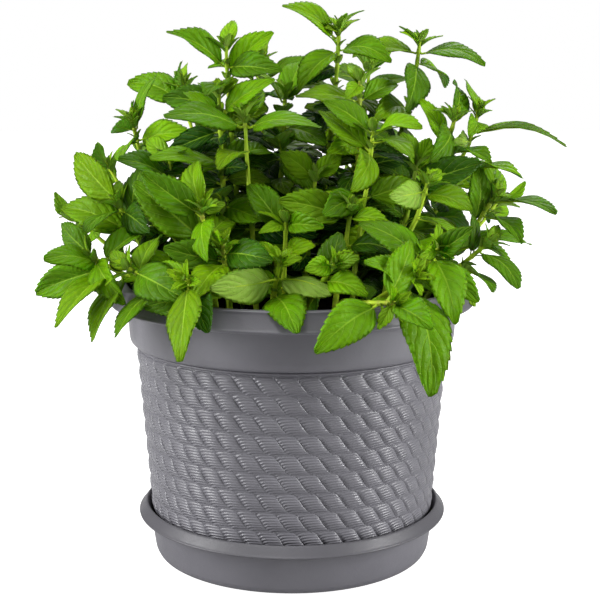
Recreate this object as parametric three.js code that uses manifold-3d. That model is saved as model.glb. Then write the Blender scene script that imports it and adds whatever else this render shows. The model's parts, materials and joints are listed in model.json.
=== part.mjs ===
// A potted mint plant: a grey plastic planter with a twisted-rope relief, its saucer, soil and leafy shoots.
// Millimetres, +Z up. The origin is the middle of the saucer's underside, and the front faces -Y.
import * as THREE from 'three';
import { mergeVertices } from 'three/addons/utils/BufferGeometryUtils.js';
import Module from 'manifold-3d';

const wasm = await Module();
wasm.setup();

// Driving dimensions of the vessels
const RIM_RADIUS = 127;
const POT_HEIGHT = 194;
const WALL = 2.5;
const CLEARANCE = 0.3;
const SIDES = 48;
const SAUCER_FLOOR = 3;
const POT_BOTTOM = SAUCER_FLOOR + CLEARANCE;
const POT_FLOOR = POT_BOTTOM + WALL;

// The rope relief: slanted strands in rows, each strand a bulge between four groove corners
const ROPE_ROWS = 9;
const ROPE_LOW = 31.2;
const ROPE_HIGH = 150;
const ROPE_LOW_RADIUS = 98.3;
const ROPE_HIGH_RADIUS = 107.6;
const ROPE_BULGE = 2.2;

const DRAIN_HOLES = 4;
const DRAIN_RADIUS = 4;
const DRAIN_RING = 55;

// The soil and the stems that stand in it
const SOIL_TOP = 174;
const SOIL_SIDES = 24;
const SOIL_EDGE_DROP = 3;
const SOIL_LUMP = 1.6;
const STEM_BURIED = 12;
const STEM_FOOT = 2.2;
const STEM_TIP = 1.5;
const STEM_START = 6;
const STEM_LOW_LEAN = 0.15;
const STEM_LOW_RISE = 0.45;
const STEM_HIGH_REACH = 0.35;
const STATION_SPACE = 20;
const CLEAR_FROM = 5;
const HOLE_RISE = 9;

// The leaves
const SEED = 11;
const NODE_DROPS = [0.5, 2, 7, 14, 24, 46, 76];
const STEM_DROPS = [24, 60];
const BARE_SHARE = 0.2;
const LEAF_WIDTH = 0.45;
const SMALL_LEAF = 49;
const BLADE_THICKNESS = 1.3;
const PETIOLE_SHARE = 0.11;
const PETIOLE_RADIUS = 0.9;
const ROOT_SUNK = 0.7;
const LIGHT_BEHIND = 90;
const LIGHT_HEIGHT = 85;
const LEAF_ARCH = { least: 0.05, spread: 0.07 };
const LEAF_FOLD = { least: 0.1, spread: 0.3 };
const LEAF_WAVE = { least: 0, spread: 0.1 };
const LEAF_ROLL = 30;
const RULED_SPREAD = 24;
const RULED_SIZE = { least: 0.85, spread: 0.3 };
const LEAF_GAP = 0.35;
const FUSED_LEAF_VOLUME = 2.5;
const FUSED_STEM_VOLUME = 14;

const POT_GREY = 0x6b696d;
const SOIL_BROWN = 0x2a1d14;
const LEAF_GREENS = [0x4c8c1e, 0x5a9a26, 0x3f7a1c];

// The picture that the front shoots follow, as its camera takes it: the camera's distance in front of the
// axis, its height over the table and its pitch down, and in pixels its focal length and the axis's place
const CAMERA = { distance: 902, height: 342, pitch: 10.2, focal: 1300, middleX: 291.9, middleY: 300 };

// Returns the line of sight through a place in the picture.
function sightLine(x, y) {
  const pitch = THREE.MathUtils.degToRad(CAMERA.pitch);
  const way = new THREE.Vector3((x - CAMERA.middleX) / CAMERA.focal, Math.cos(pitch), -Math.sin(pitch));
  const up = new THREE.Vector3(0, Math.sin(pitch), Math.cos(pitch));
  way.addScaledVector(up, (CAMERA.middleY - y) / CAMERA.focal).normalize();
  return new THREE.Ray(new THREE.Vector3(0, -CAMERA.distance, CAMERA.height), way);
}

// Returns the bud that shows at a place in the picture, that far behind the axis.
function budAt(x, y, behind) {
  const { origin, direction } = sightLine(x, y);
  return origin.addScaledVector(direction, (behind - origin.y) / direction.y).toArray();
}

// A leaf that shows is given by its node, the place of its tip in the picture and its length.
// Its tip is on the near or the far side of where the line of sight passes the stem.
const near = (node, x, y, length) => ({ node, length, sight: sightLine(x, y), side: -1 });
const far = (node, x, y, length) => ({ node, length, sight: sightLine(x, y), side: 1 });

// A hidden leaf is given by its turn from +X towards +Y and its lift over the horizontal, in degrees.
const hidden = (node, turn, lift, length) => ({ node, turn, lift, length });

// Shoots that show in front. foot is where the stem leaves the soil, and tip is the bud.
const FRONT_SHOOTS = [
  { foot: [-35, 5], tip: budAt(226, 46, 10), upturn: 0.6,
    leaves: [near(3, 168, 30, 48), near(3, 279, 68, 44), far(1, 232, 19, 24), far(4, 272, 29, 46),
      near(4, 206, 94, 42), far(5, 163, 94, 48)] },
  { foot: [-44, -20], tip: budAt(219, 93, -10), upturn: 0.6,
    leaves: [near(3, 272, 77, 45), near(3, 186, 92, 30), far(1, 226, 74, 19), near(5, 150, 158, 56),
      far(5, 262, 150, 40), hidden(6, 150, -6, 44), hidden(6, -50, -8, 42)] },
  { foot: [-24, -40], tip: budAt(245, 115, -25), upturn: 0.7,
    leaves: [near(2, 164, 116, 60), near(2, 320, 125, 57), far(1, 257, 78, 34), near(4, 218, 165, 38),
      far(4, 275, 150, 34), hidden(6, 165, -4, 46), hidden(6, -20, -4, 46)] },
  { foot: [-12, -8], tip: budAt(285, 92, 30), upturn: 0.8,
    leaves: [far(2, 302, 58, 42), near(2, 252, 70, 42), near(4, 325, 140, 44), far(5, 240, 180, 44),
      near(5, 312, 185, 42), hidden(6, -140, -10, 46), hidden(6, 20, -10, 44)] },
  { foot: [18, 22], tip: budAt(339, 28, 25), upturn: 0.8,
    leaves: [near(2, 282, 6, 46), near(1, 364, 10, 26), near(1, 326, 27, 14), near(3, 390, 56, 42),
      near(3, 299, 91, 46), far(5, 370, 120, 44)] },
  { foot: [52, 30], tip: budAt(420, 41, 35), upturn: 0.7,
    leaves: [near(1, 400, 32, 19), far(2, 352, 52, 48), near(2, 486, 62, 48), near(3, 409, 109, 50),
      far(3, 448, 84, 40), near(5, 376, 118, 46)] },
  { foot: [44, -12], tip: budAt(360, 80, 0), upturn: 0.7,
    leaves: [far(1, 351, 61, 22), near(1, 346, 99, 22), near(3, 297, 93, 46), far(3, 398, 84, 36),
      near(5, 330, 150, 40), hidden(5, 60, -4, 44), hidden(6, -60, -10, 44)] },
  { foot: [40, -42], tip: budAt(373, 130, -35), upturn: 0.7,
    leaves: [far(1, 339, 100, 40), near(2, 413, 150, 42), near(1, 421, 125, 40), near(3, 357, 186, 48),
      far(3, 319, 110, 46), far(5, 400, 190, 40), hidden(5, -140, -8, 44), hidden(6, -30, -12, 44)] },
  { foot: [70, 2], tip: budAt(455, 117, 0), upturn: 0.6,
    leaves: [far(1, 459, 80, 42), near(2, 434, 160, 44), near(1, 433, 110, 18), near(4, 492, 160, 40),
      far(4, 425, 95, 40)] },
  { foot: [84, 24], tip: budAt(479, 110, 12), upturn: 0.5,
    leaves: [far(1, 466, 79, 34), near(2, 473, 133, 30), near(3, 567, 134, 66), near(4, 450, 140, 32),
      near(5, 523, 178, 54)] },
  { foot: [88, -14], tip: budAt(495, 197, -10), upturn: 0.4,
    leaves: [far(2, 469, 163, 40), near(1, 557, 213, 49), far(1, 500, 180, 19), near(3, 525, 238, 42),
      far(4, 480, 160, 42), near(5, 513, 257, 50)] },
  { foot: [60, -44], tip: budAt(428, 182, -50), upturn: 0.6,
    leaves: [near(2, 471, 209, 40), far(1, 441, 168, 19), near(2, 392, 196, 38), near(4, 459, 233, 42),
      near(5, 403, 246, 44)] },
  { foot: [66, -62], tip: budAt(439, 247, -95), upturn: 0.3,
    leaves: [near(2, 471, 230, 32), near(1, 420, 256, 20), hidden(4, 120, 10, 44), far(3, 384, 204, 50),
      near(2, 458, 318, 54), near(4, 479, 297, 48)] },
  { foot: [86, -40], tip: budAt(488, 243, -45), upturn: 0.3,
    leaves: [far(1, 500, 226, 20), near(2, 520, 287, 42), far(3, 468, 214, 34), near(4, 494, 290, 46),
      hidden(4, 110, 0, 40)] },
  { foot: [22, -84], tip: budAt(395, 303, -135), upturn: 0.1,
    leaves: [far(2, 416, 239, 46), near(1, 433, 328, 38), near(1, 378, 330, 18), near(3, 318, 349, 54),
      far(4, 354, 281, 30)] },
  { foot: [48, -78], tip: budAt(414, 276, -112), upturn: 0.2,
    leaves: [near(2, 440, 389, 76), far(3, 440, 265, 30), near(3, 366, 262, 40)] },
  { foot: [-50, -54], tip: budAt(201, 207, -72), upturn: 0.6,
    leaves: [far(1, 194, 159, 40), near(1, 223, 203, 18), near(2, 204, 257, 40), far(4, 122, 172, 60),
      far(2, 137, 168, 48), far(4, 240, 215, 38)] },
  { foot: [-40, -70], tip: budAt(222, 243, -88), upturn: 0.3,
    leaves: [near(2, 270, 258, 42), near(3, 194, 293, 44), near(1, 205, 232, 18),
      near(3, 178, 252, 40)] },
  { foot: [-14, -78], tip: budAt(280, 261, -92), upturn: 0.5,
    leaves: [far(1, 259, 242, 22), near(1, 300, 257, 18), near(3, 331, 289, 42), near(3, 212, 288, 50),
      near(4, 321, 344, 58)] },
  { foot: [-6, -52], tip: budAt(286, 221, -62), upturn: 0.6,
    leaves: [near(1, 322, 226, 32), near(1, 260, 231, 22), far(2, 247, 182, 44), near(4, 312, 246, 36),
      near(5, 262, 285, 38), hidden(5, 70, 4, 40)] },
  { foot: [28, -58], tip: budAt(351, 207, -58), upturn: 0.6,
    leaves: [far(1, 354, 187, 20), near(1, 336, 212, 16), near(2, 376, 222, 30), near(2, 296, 203, 48),
      far(2, 385, 170, 40)] },
  { foot: [6, -86], tip: budAt(335, 264, -102), upturn: 0.3,
    leaves: [near(1, 306, 269, 24), near(1, 358, 257, 20), far(3, 340, 232, 32),
      near(3, 352, 296, 34)] },
  { foot: [-84, -14], tip: budAt(117, 201, -20), upturn: 0.5,
    leaves: [far(1, 73, 153, 54), near(2, 149, 231, 40), far(1, 118, 181, 20), near(2, 82, 228, 38),
      far(4, 142, 140, 48), far(4, 60, 205, 56)] },
  { foot: [-80, -46], tip: budAt(91, 257, -55), upturn: 0.3,
    leaves: [far(1, 59, 224, 38), near(1, 121, 302, 46), far(2, 145, 219, 50), near(2, 44, 258, 42),
      near(3, 56, 328, 62), far(3, 32, 291, 58), near(4, 88, 336, 60)] },
  { foot: [-74, 20], tip: budAt(132, 120, 20), upturn: 0.6,
    leaves: [far(2, 153, 73, 44), near(2, 110, 126, 28), far(1, 140, 101, 20), near(3, 191, 132, 46),
      near(3, 118, 158, 42)] },
  { foot: [-72, -66], tip: budAt(128, 268, -78), upturn: 0.1,
    leaves: [near(1, 201, 300, 58), far(1, 110, 252, 22), far(2, 160, 232, 40),
      near(4, 112, 330, 50)] },
  { foot: [-46, -84], tip: budAt(186, 280, -112), upturn: 0,
    leaves: [near(1, 190, 362, 56), far(2, 161, 262, 30), near(3, 206, 331, 38), near(3, 232, 278, 34),
      near(4, 152, 300, 40)] },
];

// Shoots behind and inside, whose leaves are placed by the rule in ruledLeaves
const OTHER_SHOOTS = [
  { foot: [-45, 45], tip: [-80, 70, 328], upturn: 0.6 },
  { foot: [-15, 45], tip: [-25, 78, 345], upturn: 0.7 },
  { foot: [32, 54], tip: [58, 86, 340], upturn: 0.7 },
  { foot: [-78, 42], tip: [-135, 62, 268], upturn: 0.4 },
  { foot: [-60, 66], tip: [-98, 112, 262], upturn: 0.4 },
  { foot: [-20, 76], tip: [-34, 130, 288], upturn: 0.5 },
  { foot: [26, 78], tip: [46, 130, 284], upturn: 0.5 },
  { foot: [76, 50], tip: [128, 92, 262], upturn: 0.4 },
  { foot: [92, 6], tip: [150, 46, 244], upturn: 0.4 },
  { foot: [-94, 6], tip: [-152, 18, 236], upturn: 0.4 },
  { foot: [-44, 86], tip: [-72, 150, 218], upturn: 0.2 },
  { foot: [-4, 96], tip: [0, 158, 212], upturn: 0.2 },
  { foot: [42, 90], tip: [78, 148, 216], upturn: 0.2 },
  { foot: [8, -22], tip: [16, -18, 268], upturn: 0.8 },
  { foot: [-62, -16], tip: [-82, -24, 280], upturn: 0.7 },
  { foot: [66, -20], tip: [84, -22, 276], upturn: 0.7 },
];

const RULED_PAIRS = [
  { node: 1, lift: 46, length: 28 },
  { node: 3, lift: 16, length: 48 },
  { node: 5, lift: -6, length: 54 },
  { node: 6, lift: -16, length: 52 },
];

// A leaf outline as [share of the blade, share of the half width]: teeth that point to the tip
const LARGE_TEETH = [[0.16, 1], [0.26, 0.86], [0.46, 1.06], [0.55, 0.86], [0.78, 1.2]];
const LARGE_MIDRIB = [0.3, 0.62];
const SMALL_TEETH = [[0.3, 1.05], [0.42, 0.85], [0.7, 1.16]];
const SMALL_MIDRIB = [0.42];

const UP = new THREE.Vector3(0, 0, 1);

// Returns a repeatable value from 0 to 1 for a shoot, a leaf and a purpose.
function draw(shoot, leaf, purpose) {
  const mixed = Math.sin(shoot * 12.9898 + leaf * 78.233 + purpose * 37.719 + SEED) * 43758.5453;
  return mixed - Math.floor(mixed);
}

function drawFrom({ least, spread }, shoot, leaf, purpose) {
  return least + spread * draw(shoot, leaf, purpose);
}

function solidOf(geometry) {
  geometry.deleteAttribute('normal');
  geometry.deleteAttribute('uv');
  const merged = mergeVertices(geometry, 1e-4);
  return new wasm.Manifold(new wasm.Mesh({
    numProp: 3,
    vertProperties: new Float32Array(merged.attributes.position.array),
    triVerts: new Uint32Array(merged.index.array),
  }));
}

function solidOfTriangles(points, triangles) {
  return new wasm.Manifold(new wasm.Mesh({
    numProp: 3,
    vertProperties: new Float32Array(points.flatMap((p) => [p.x, p.y, p.z])),
    triVerts: new Uint32Array(triangles.flat()),
  }));
}

function geometryOf(solid) {
  const mesh = solid.getMesh();
  const geometry = new THREE.BufferGeometry();
  geometry.setAttribute('position', new THREE.BufferAttribute(new Float32Array(mesh.vertProperties), 3));
  geometry.setIndex(new THREE.BufferAttribute(new Uint32Array(mesh.triVerts), 1));
  geometry.computeVertexNormals();
  return geometry;
}

function namedMesh(name, solid, color, roughness, place = new THREE.Vector3()) {
  const geometry = geometryOf(solid).translate(-place.x, -place.y, -place.z);
  const mesh = new THREE.Mesh(geometry, new THREE.MeshStandardMaterial({ color, roughness, metalness: 0 }));
  mesh.name = name;
  mesh.position.copy(place);
  return mesh;
}

function lathe(profile, sides) {
  const turned = new THREE.LatheGeometry(profile.map(([r, z]) => new THREE.Vector2(r, z)), sides);
  return solidOf(turned.rotateX(Math.PI / 2));
}

// The pot

function ropeRadius(z) {
  return THREE.MathUtils.mapLinear(z, ROPE_LOW, ROPE_HIGH, ROPE_LOW_RADIUS, ROPE_HIGH_RADIUS);
}

// The wall inside, from the floor to the rim, as [radius, height]
const POT_INSIDE = [
  [91.5, POT_FLOOR],
  [93, ROPE_LOW],
  [ropeRadius(ROPE_HIGH) - WALL, ROPE_HIGH],
  [112.6, 186],
];

function potOutside() {
  const foot = [[94, POT_BOTTOM], [95.1, ROPE_LOW - 2.4]];
  const rope = [];
  for (let row = 0; row <= ROPE_ROWS; row += 1) {
    const z = THREE.MathUtils.lerp(ROPE_LOW, ROPE_HIGH, row / ROPE_ROWS);
    rope.push([ropeRadius(z), z]);
  }
  const band = [[112.4, 153], [114, 156.4], [114.8, 174.6]];
  const outerLip = [[RIM_RADIUS - 0.6, 180.6], [RIM_RADIUS, 183.2]];
  const lip = [...outerLip, [117.2, POT_HEIGHT - 0.4], [114.8, POT_HEIGHT]];
  return { foot, rope, band, lip };
}

// Builds the pot's skin ring by ring, and splits each rope cell into a low pyramid on a slanted lattice.
function makePot() {
  const { foot, rope, band, lip } = potOutside();
  const rings = [...foot, ...rope, ...band, ...lip, ...[...POT_INSIDE].reverse()];
  const points = rings.flatMap(([r, z]) => Array.from({ length: SIDES }, (_, i) => {
    const angle = (2 * Math.PI * i) / SIDES;
    return new THREE.Vector3(r * Math.cos(angle), r * Math.sin(angle), z);
  }));
  const triangles = [];
  for (let ring = 0; ring < rings.length - 1; ring += 1) {
    const isRope = ring >= foot.length && ring < foot.length + ROPE_ROWS;
    for (let i = 0; i < SIDES; i += 1) {
      const next = (i + 1) % SIDES;
      const above = ring + 1;
      if (!isRope) {
        const [a, b] = [ring * SIDES + i, ring * SIDES + next];
        const [c, d] = [above * SIDES + next, above * SIDES + i];
        triangles.push([a, b, c], [a, c, d]);
        continue;
      }
      const corners = [ring * SIDES + next, ring * SIDES + ((i + 2) % SIDES),
        above * SIDES + next, above * SIDES + i];
      const peak = corners.reduce((sum, c) => sum.add(points[c]), new THREE.Vector3()).divideScalar(4);
      const spread = (ropeRadius(peak.z) + ROPE_BULGE) / Math.hypot(peak.x, peak.y);
      points.push(new THREE.Vector3(peak.x * spread, peak.y * spread, peak.z));
      corners.forEach((c, k) => triangles.push([c, corners[(k + 1) % 4], points.length - 1]));
    }
  }
  const under = points.push(new THREE.Vector3(0, 0, POT_BOTTOM)) - 1;
  const inside = points.push(new THREE.Vector3(0, 0, POT_FLOOR)) - 1;
  const last = (rings.length - 1) * SIDES;
  for (let i = 0; i < SIDES; i += 1) {
    const next = (i + 1) % SIDES;
    triangles.push([under, next, i], [inside, last + i, last + next]);
  }
  let pot = solidOfTriangles(points, triangles);
  for (let hole = 0; hole < DRAIN_HOLES; hole += 1) {
    const angle = (2 * Math.PI * (hole + 0.5)) / DRAIN_HOLES;
    const drill = new THREE.CylinderGeometry(DRAIN_RADIUS, DRAIN_RADIUS, 4 * WALL, 8).rotateX(Math.PI / 2);
    drill.translate(DRAIN_RING * Math.cos(angle), DRAIN_RING * Math.sin(angle), POT_BOTTOM + WALL / 2);
    pot = pot.subtract(solidOf(drill));
  }
  return pot;
}

// The saucer: a dish with a rounded foot and a flared lip that slopes up to the pot

function makeSaucer() {
  return lathe([
    [0, 0], [92, 0], [97.6, 3.4], [101.2, 26], [103.4, 29.2], [109.4, 29.8], [109.2, 32.6],
    [104.6, 37.3], [103, 36.6], [99.4, 26], [96.2, SAUCER_FLOOR], [0, SAUCER_FLOOR],
  ], SIDES);
}

// The soil: fills the pot to a loose, uneven surface

function soilHeight(x, y) {
  const lumps = Math.sin(x / 17 + 1) * Math.cos(y / 14) + 0.6 * Math.sin(x / 7 - y / 9);
  return SOIL_TOP + SOIL_LUMP * lumps;
}

function soilEdge(z) {
  const above = POT_INSIDE.findIndex(([, height]) => height > z);
  const [[r0, z0], [r1, z1]] = [POT_INSIDE[above - 1], POT_INSIDE[above]];
  return THREE.MathUtils.mapLinear(z, z0, z1, r0, r1) - CLEARANCE;
}

function makeSoil() {
  const wall = POT_INSIDE.slice(0, -1).map(([r, z]) => [r - CLEARANCE, z]);
  wall[0][1] += CLEARANCE;
  const low = SOIL_TOP - SOIL_EDGE_DROP;
  const top = [[soilEdge(low), low], [80, SOIL_TOP], [40, SOIL_TOP], [0, SOIL_TOP]];
  const profile = [[0, wall[0][1]], ...wall, ...top].map(([r, z]) => new THREE.Vector2(r, z));
  const turned = new THREE.LatheGeometry(profile, SOIL_SIDES).rotateX(Math.PI / 2);
  const place = turned.attributes.position;
  for (let i = 0; i < place.count; i += 1) {
    if (place.getZ(i) >= SOIL_TOP - 1) {
      place.setZ(i, soilHeight(place.getX(i), place.getY(i)));
    }
  }
  return solidOf(turned);
}

// Stems

// Bends a stem from the soil to its bud, upright at the foot, and moved sideways in the middle by sway.
function stemCurve({ foot, tip, upturn }, sway) {
  const start = new THREE.Vector3(foot[0], foot[1], SOIL_TOP + STEM_START);
  const end = new THREE.Vector3(...tip);
  const way = end.clone().sub(start);
  const reach = way.length();
  const aside = new THREE.Vector3(-way.y, way.x, 0).normalize().multiplyScalar(sway);
  const rise = new THREE.Vector3(way.x * STEM_LOW_LEAN, way.y * STEM_LOW_LEAN, reach * STEM_LOW_RISE);
  const low = start.clone().add(rise).add(aside);
  const heading = way.clone().divideScalar(reach).multiplyScalar(1 - upturn);
  heading.addScaledVector(UP, upturn).normalize();
  const high = end.clone().addScaledVector(heading, -STEM_HIGH_REACH * reach).add(aside);
  return new THREE.CubicBezierCurve3(start, low, high, end);
}

// Returns the stem's stations from the bud down: the bud, two by distance, the middle of the rest, the foot.
function stemStations(shoot, sway) {
  const curve = stemCurve(shoot, sway);
  const length = curve.getLength();
  const drops = [0, ...STEM_DROPS.filter((drop) => drop < length - STATION_SPACE)];
  const rest = drops[drops.length - 1];
  drops.push((rest + length) / 2, length);
  return drops.map((drop) => ({ drop, at: curve.getPointAt(1 - drop / length) }));
}

// Finds the point on a stem that far below its bud, and never on the lowest part, which stays bare.
function stemPoint(stations, wanted) {
  const drop = Math.min(wanted, (1 - BARE_SHARE) * stations[stations.length - 1].drop);
  const below = stations.findIndex((station) => station.drop >= drop);
  const [a, b] = [stations[below - 1], stations[below]];
  return a.at.clone().lerp(b.at, (drop - a.drop) / (b.drop - a.drop));
}

// A stem's square section lies level at the foot, and along one tilted plane above, so its faces are flat.
function makeStem(stations) {
  const foot = stations[stations.length - 1].at;
  const lean = stations[0].at.clone().sub(foot).normalize();
  const right = new THREE.Vector3(0, 1, 0).cross(lean).normalize();
  const path = [...stations.map((station) => station.at), foot.clone().setZ(SOIL_TOP - STEM_BURIED)];
  const points = [];
  path.forEach((at, ring) => {
    const radius = THREE.MathUtils.lerp(STEM_TIP, STEM_FOOT, Math.min(ring / (path.length - 2), 1));
    const axis = ring < path.length - 2 ? lean : UP;
    const across = ring < path.length - 2 ? right : new THREE.Vector3(1, 0, 0);
    const back = axis.clone().cross(across);
    for (const [u, v] of [[1, 0], [0, 1], [-1, 0], [0, -1]]) {
      points.push(at.clone().addScaledVector(across, u * radius).addScaledVector(back, v * radius));
    }
  });
  const triangles = [];
  for (let ring = 0; ring < path.length - 1; ring += 1) {
    for (let i = 0; i < 4; i += 1) {
      const [a, b] = [ring * 4 + i, ring * 4 + ((i + 1) % 4)];
      triangles.push([a, a + 4, b + 4], [a, b + 4, b]);
    }
  }
  const end = (path.length - 1) * 4;
  triangles.push([0, 1, 2], [0, 2, 3], [end, end + 2, end + 1], [end, end + 3, end + 2]);
  return solidOfTriangles(points, triangles);
}

// The square hole that a stem stands in, clear of it all round and below
function makeStemHole([x, y]) {
  const radius = STEM_FOOT + CLEARANCE * Math.SQRT2;
  const [low, high] = [SOIL_TOP - STEM_BURIED - CLEARANCE, SOIL_TOP + HOLE_RISE];
  const hole = new THREE.CylinderGeometry(radius, radius, high - low, 4).rotateX(Math.PI / 2);
  return solidOf(hole.translate(x, y, (low + high) / 2));
}

// Leaves

// The half width of a blade as a share of its widest place, at a share t of its length
function bladeShape(t) {
  return Math.sin(Math.PI * t ** 0.72) ** 0.85;
}

// Walks two rows of stations towards the tip and returns the strip of triangles between them.
function strip(edge, middle) {
  const faces = [];
  let [e, m] = [0, 0];
  while (e < edge.length - 1 || m < middle.length - 1) {
    const isMiddleDone = m === middle.length - 1;
    const isEdgeNext = isMiddleDone
      || (e < edge.length - 1 && edge[e + 1].t <= (middle[m].t + middle[m + 1].t) / 2);
    const next = isEdgeNext ? edge[e + 1].id : middle[m + 1].id;
    if (new Set([edge[e].id, next, middle[m].id]).size === 3) {
      faces.push([edge[e].id, next, middle[m].id]);
    }
    if (isEdgeNext) e += 1;
    else m += 1;
  }
  return faces;
}

// Returns a leaf's frame: where it starts, which way it runs, and its upper side's normal.
function leafFrame(root, turn, lift, roll) {
  const [a, b] = [THREE.MathUtils.degToRad(turn), THREE.MathUtils.degToRad(lift)];
  const along = new THREE.Vector3(Math.cos(b) * Math.cos(a), Math.cos(b) * Math.sin(a), Math.sin(b));
  const facing = new THREE.Vector3(root.x, root.y - LIGHT_BEHIND, LIGHT_HEIGHT).normalize();
  const normal = facing.addScaledVector(along, -facing.dot(along)).normalize();
  normal.applyAxisAngle(along, THREE.MathUtils.degToRad(roll));
  return { root, along, normal, side: along.clone().cross(normal) };
}

// A leaf is one closed body: a three-sided petiole that runs to a point inside the stem, a toothed outline
// shared by both faces of the blade, and a midrib that parts the faces.
function makeLeaf(frame, length, form) {
  const isSmall = length < SMALL_LEAF;
  const teeth = isSmall ? SMALL_TEETH : LARGE_TEETH;
  const midrib = isSmall ? SMALL_MIDRIB : LARGE_MIDRIB;
  const halfWidth = 0.5 * LEAF_WIDTH * length;
  const points = [];
  const place = (share, across, over) => {
    const t = PETIOLE_SHARE + share * (1 - PETIOLE_SHARE);
    const bow = form.arch * length * Math.sin(Math.PI * Math.max(share, 0));
    const at = frame.root.clone().addScaledVector(frame.along, t * length);
    at.addScaledVector(frame.side, across).addScaledVector(frame.normal, bow + over);
    return { t, id: points.push(at) - 1 };
  };
  const root = place(-(PETIOLE_SHARE + ROOT_SUNK / length) / (1 - PETIOLE_SHARE), 0, 0);
  const tip = place(1, 0, 0);
  const edgeOf = (sign) => [
    root,
    place(0, sign * PETIOLE_RADIUS, PETIOLE_RADIUS / 2),
    ...teeth.map(([share, wide], k) => {
      const w = halfWidth * wide * bladeShape(share);
      const wave = form.wave * halfWidth * (k % 2 ? -1 : 1) * sign;
      return place(share, sign * w * Math.cos(form.fold), w * Math.sin(form.fold) + wave);
    }),
    tip,
  ];
  const ribOf = (sign) => midrib.map((share) => place(share, 0, (sign * BLADE_THICKNESS) / 2));
  const [left, right] = [edgeOf(-1), edgeOf(1)];
  const top = [...ribOf(1), tip];
  const bottom = [root, place(0, 0, -PETIOLE_RADIUS), ...ribOf(-1), tip];
  const flip = (faces) => faces.map(([a, b, c]) => [a, c, b]);
  const faces = [
    ...flip(strip(left.slice(1), top)), ...strip(right.slice(1), top),
    ...strip(left, bottom), ...flip(strip(right, bottom)),
    [right[1].id, top[0].id, left[1].id],
    [root.id, right[1].id, left[1].id],
  ];
  return solidOfTriangles(points, faces);
}

// Opposite pairs, each turned a quarter from the last, for a shoot that lists no leaves of its own
function ruledLeaves(shootIndex) {
  return RULED_PAIRS.flatMap(({ node, lift, length }, pair) => [0, 180].map((half, k) => hidden(
    node,
    360 * draw(shootIndex, 0, 1) + 90 * pair + half + RULED_SPREAD * (draw(shootIndex, pair, 2 + k) - 0.5),
    lift + RULED_SPREAD * (draw(shootIndex, pair, 4 + k) - 0.5),
    length * drawFrom(RULED_SIZE, shootIndex, pair, 6 + k),
  )));
}

// The ways to try a leaf, from as placed to turned, lifted or shorter, until one is clear of the rest
const LEAF_TRIES = [1, 0.86, 0.72].flatMap((size) => [0, 12, -12, 24].flatMap((rise) => (
  [0, 10, -10, 20, -20, 32, -32].map((turn) => ({ size, rise, turn })))));
const STEM_SWAYS = [0, 5, -5, 10, -10, 16, -16];

function boxesMeet(a, b, gap) {
  return [0, 1, 2].every((k) => a.min[k] - gap < b.max[k] && b.min[k] - gap < a.max[k]);
}

class Thicket {
  constructor(fixed) {
    this.members = [];
    fixed.forEach((solid) => this.add(solid, -1));
  }

  add(solid, shoot, fusedVolume = 0) {
    this.members.push({ solid, shoot, fusedVolume, box: solid.boundingBox() });
  }

  // True where the solid is clear of other shoots, and meets its own only at the root.
  accepts(solid, shoot) {
    const box = solid.boundingBox();
    return this.members.every((other) => {
      if (!boxesMeet(box, other.box, LEAF_GAP)) return true;
      if (other.shoot === shoot) return solid.intersect(other.solid).volume() < other.fusedVolume;
      return solid.minGap(other.solid, 2 * LEAF_GAP) > LEAF_GAP;
    });
  }
}

function growStems(shoots, thicket) {
  return shoots.map((shoot, index) => {
    for (const sway of STEM_SWAYS) {
      const stations = stemStations(shoot, sway);
      const stem = makeStem(stations);
      const above = stem.trimByPlane([0, 0, 1], SOIL_TOP + CLEAR_FROM);
      if (thicket.accepts(above, index)) {
        thicket.add(stem, index, FUSED_STEM_VOLUME);
        return { stations, solids: [stem] };
      }
    }
    throw new Error(`stem ${index} has no clear way`);
  });
}

// Returns a leaf's turn and lift from its root, so that the tip of one that shows is on its line of sight,
// or points at it where the leaf is too short to reach it.
function aimOf({ turn, lift, length, sight, side }, root) {
  if (!sight) return { turn, lift };
  const middle = sight.closestPointToPoint(root, new THREE.Vector3());
  const spare = Math.sqrt(Math.max(length ** 2 - middle.distanceToSquared(root), 0));
  const run = middle.addScaledVector(sight.direction, side * spare).sub(root).normalize();
  return {
    turn: THREE.MathUtils.radToDeg(Math.atan2(run.y, run.x)),
    lift: THREE.MathUtils.radToDeg(Math.asin(run.z)),
  };
}

// Adds a leaf to its stem in the first way that is clear of the rest. A leaf without room is left out.
function growLeaf(spec, shootIndex, leafIndex, grown, thicket) {
  const root = stemPoint(grown.stations, NODE_DROPS[spec.node]);
  const { turn, lift } = aimOf(spec, root);
  const form = {
    arch: drawFrom(LEAF_ARCH, shootIndex, leafIndex, 11),
    fold: drawFrom(LEAF_FOLD, shootIndex, leafIndex, 12),
    wave: drawFrom(LEAF_WAVE, shootIndex, leafIndex, 13),
  };
  const roll = LEAF_ROLL * (draw(shootIndex, leafIndex, 14) - 0.5);
  for (const attempt of LEAF_TRIES) {
    const frame = leafFrame(root, turn + attempt.turn, lift + attempt.rise, roll);
    const leaf = makeLeaf(frame, spec.length * attempt.size, form);
    if (thicket.accepts(leaf, shootIndex)) {
      thicket.add(leaf, shootIndex, FUSED_LEAF_VOLUME);
      grown.solids.push(leaf);
      return;
    }
  }
}

const pot = makePot();
const saucer = makeSaucer();
const soilBody = makeSoil();
const shoots = [...FRONT_SHOOTS, ...OTHER_SHOOTS];
const thicket = new Thicket([pot]);
const grownShoots = growStems(shoots, thicket);
thicket.add(soilBody, -1);
shoots.forEach((shoot, index) => {
  const specs = shoot.leaves ?? ruledLeaves(index);
  specs.forEach((spec, leaf) => growLeaf(spec, index, leaf, grownShoots[index], thicket));
});

const soil = shoots.reduce((left, shoot) => left.subtract(makeStemHole(shoot.foot)), soilBody);

const vessel = new THREE.Group();
vessel.add(namedMesh('saucer', saucer, POT_GREY, 0.45));
vessel.add(namedMesh('pot', pot, POT_GREY, 0.45));

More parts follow.
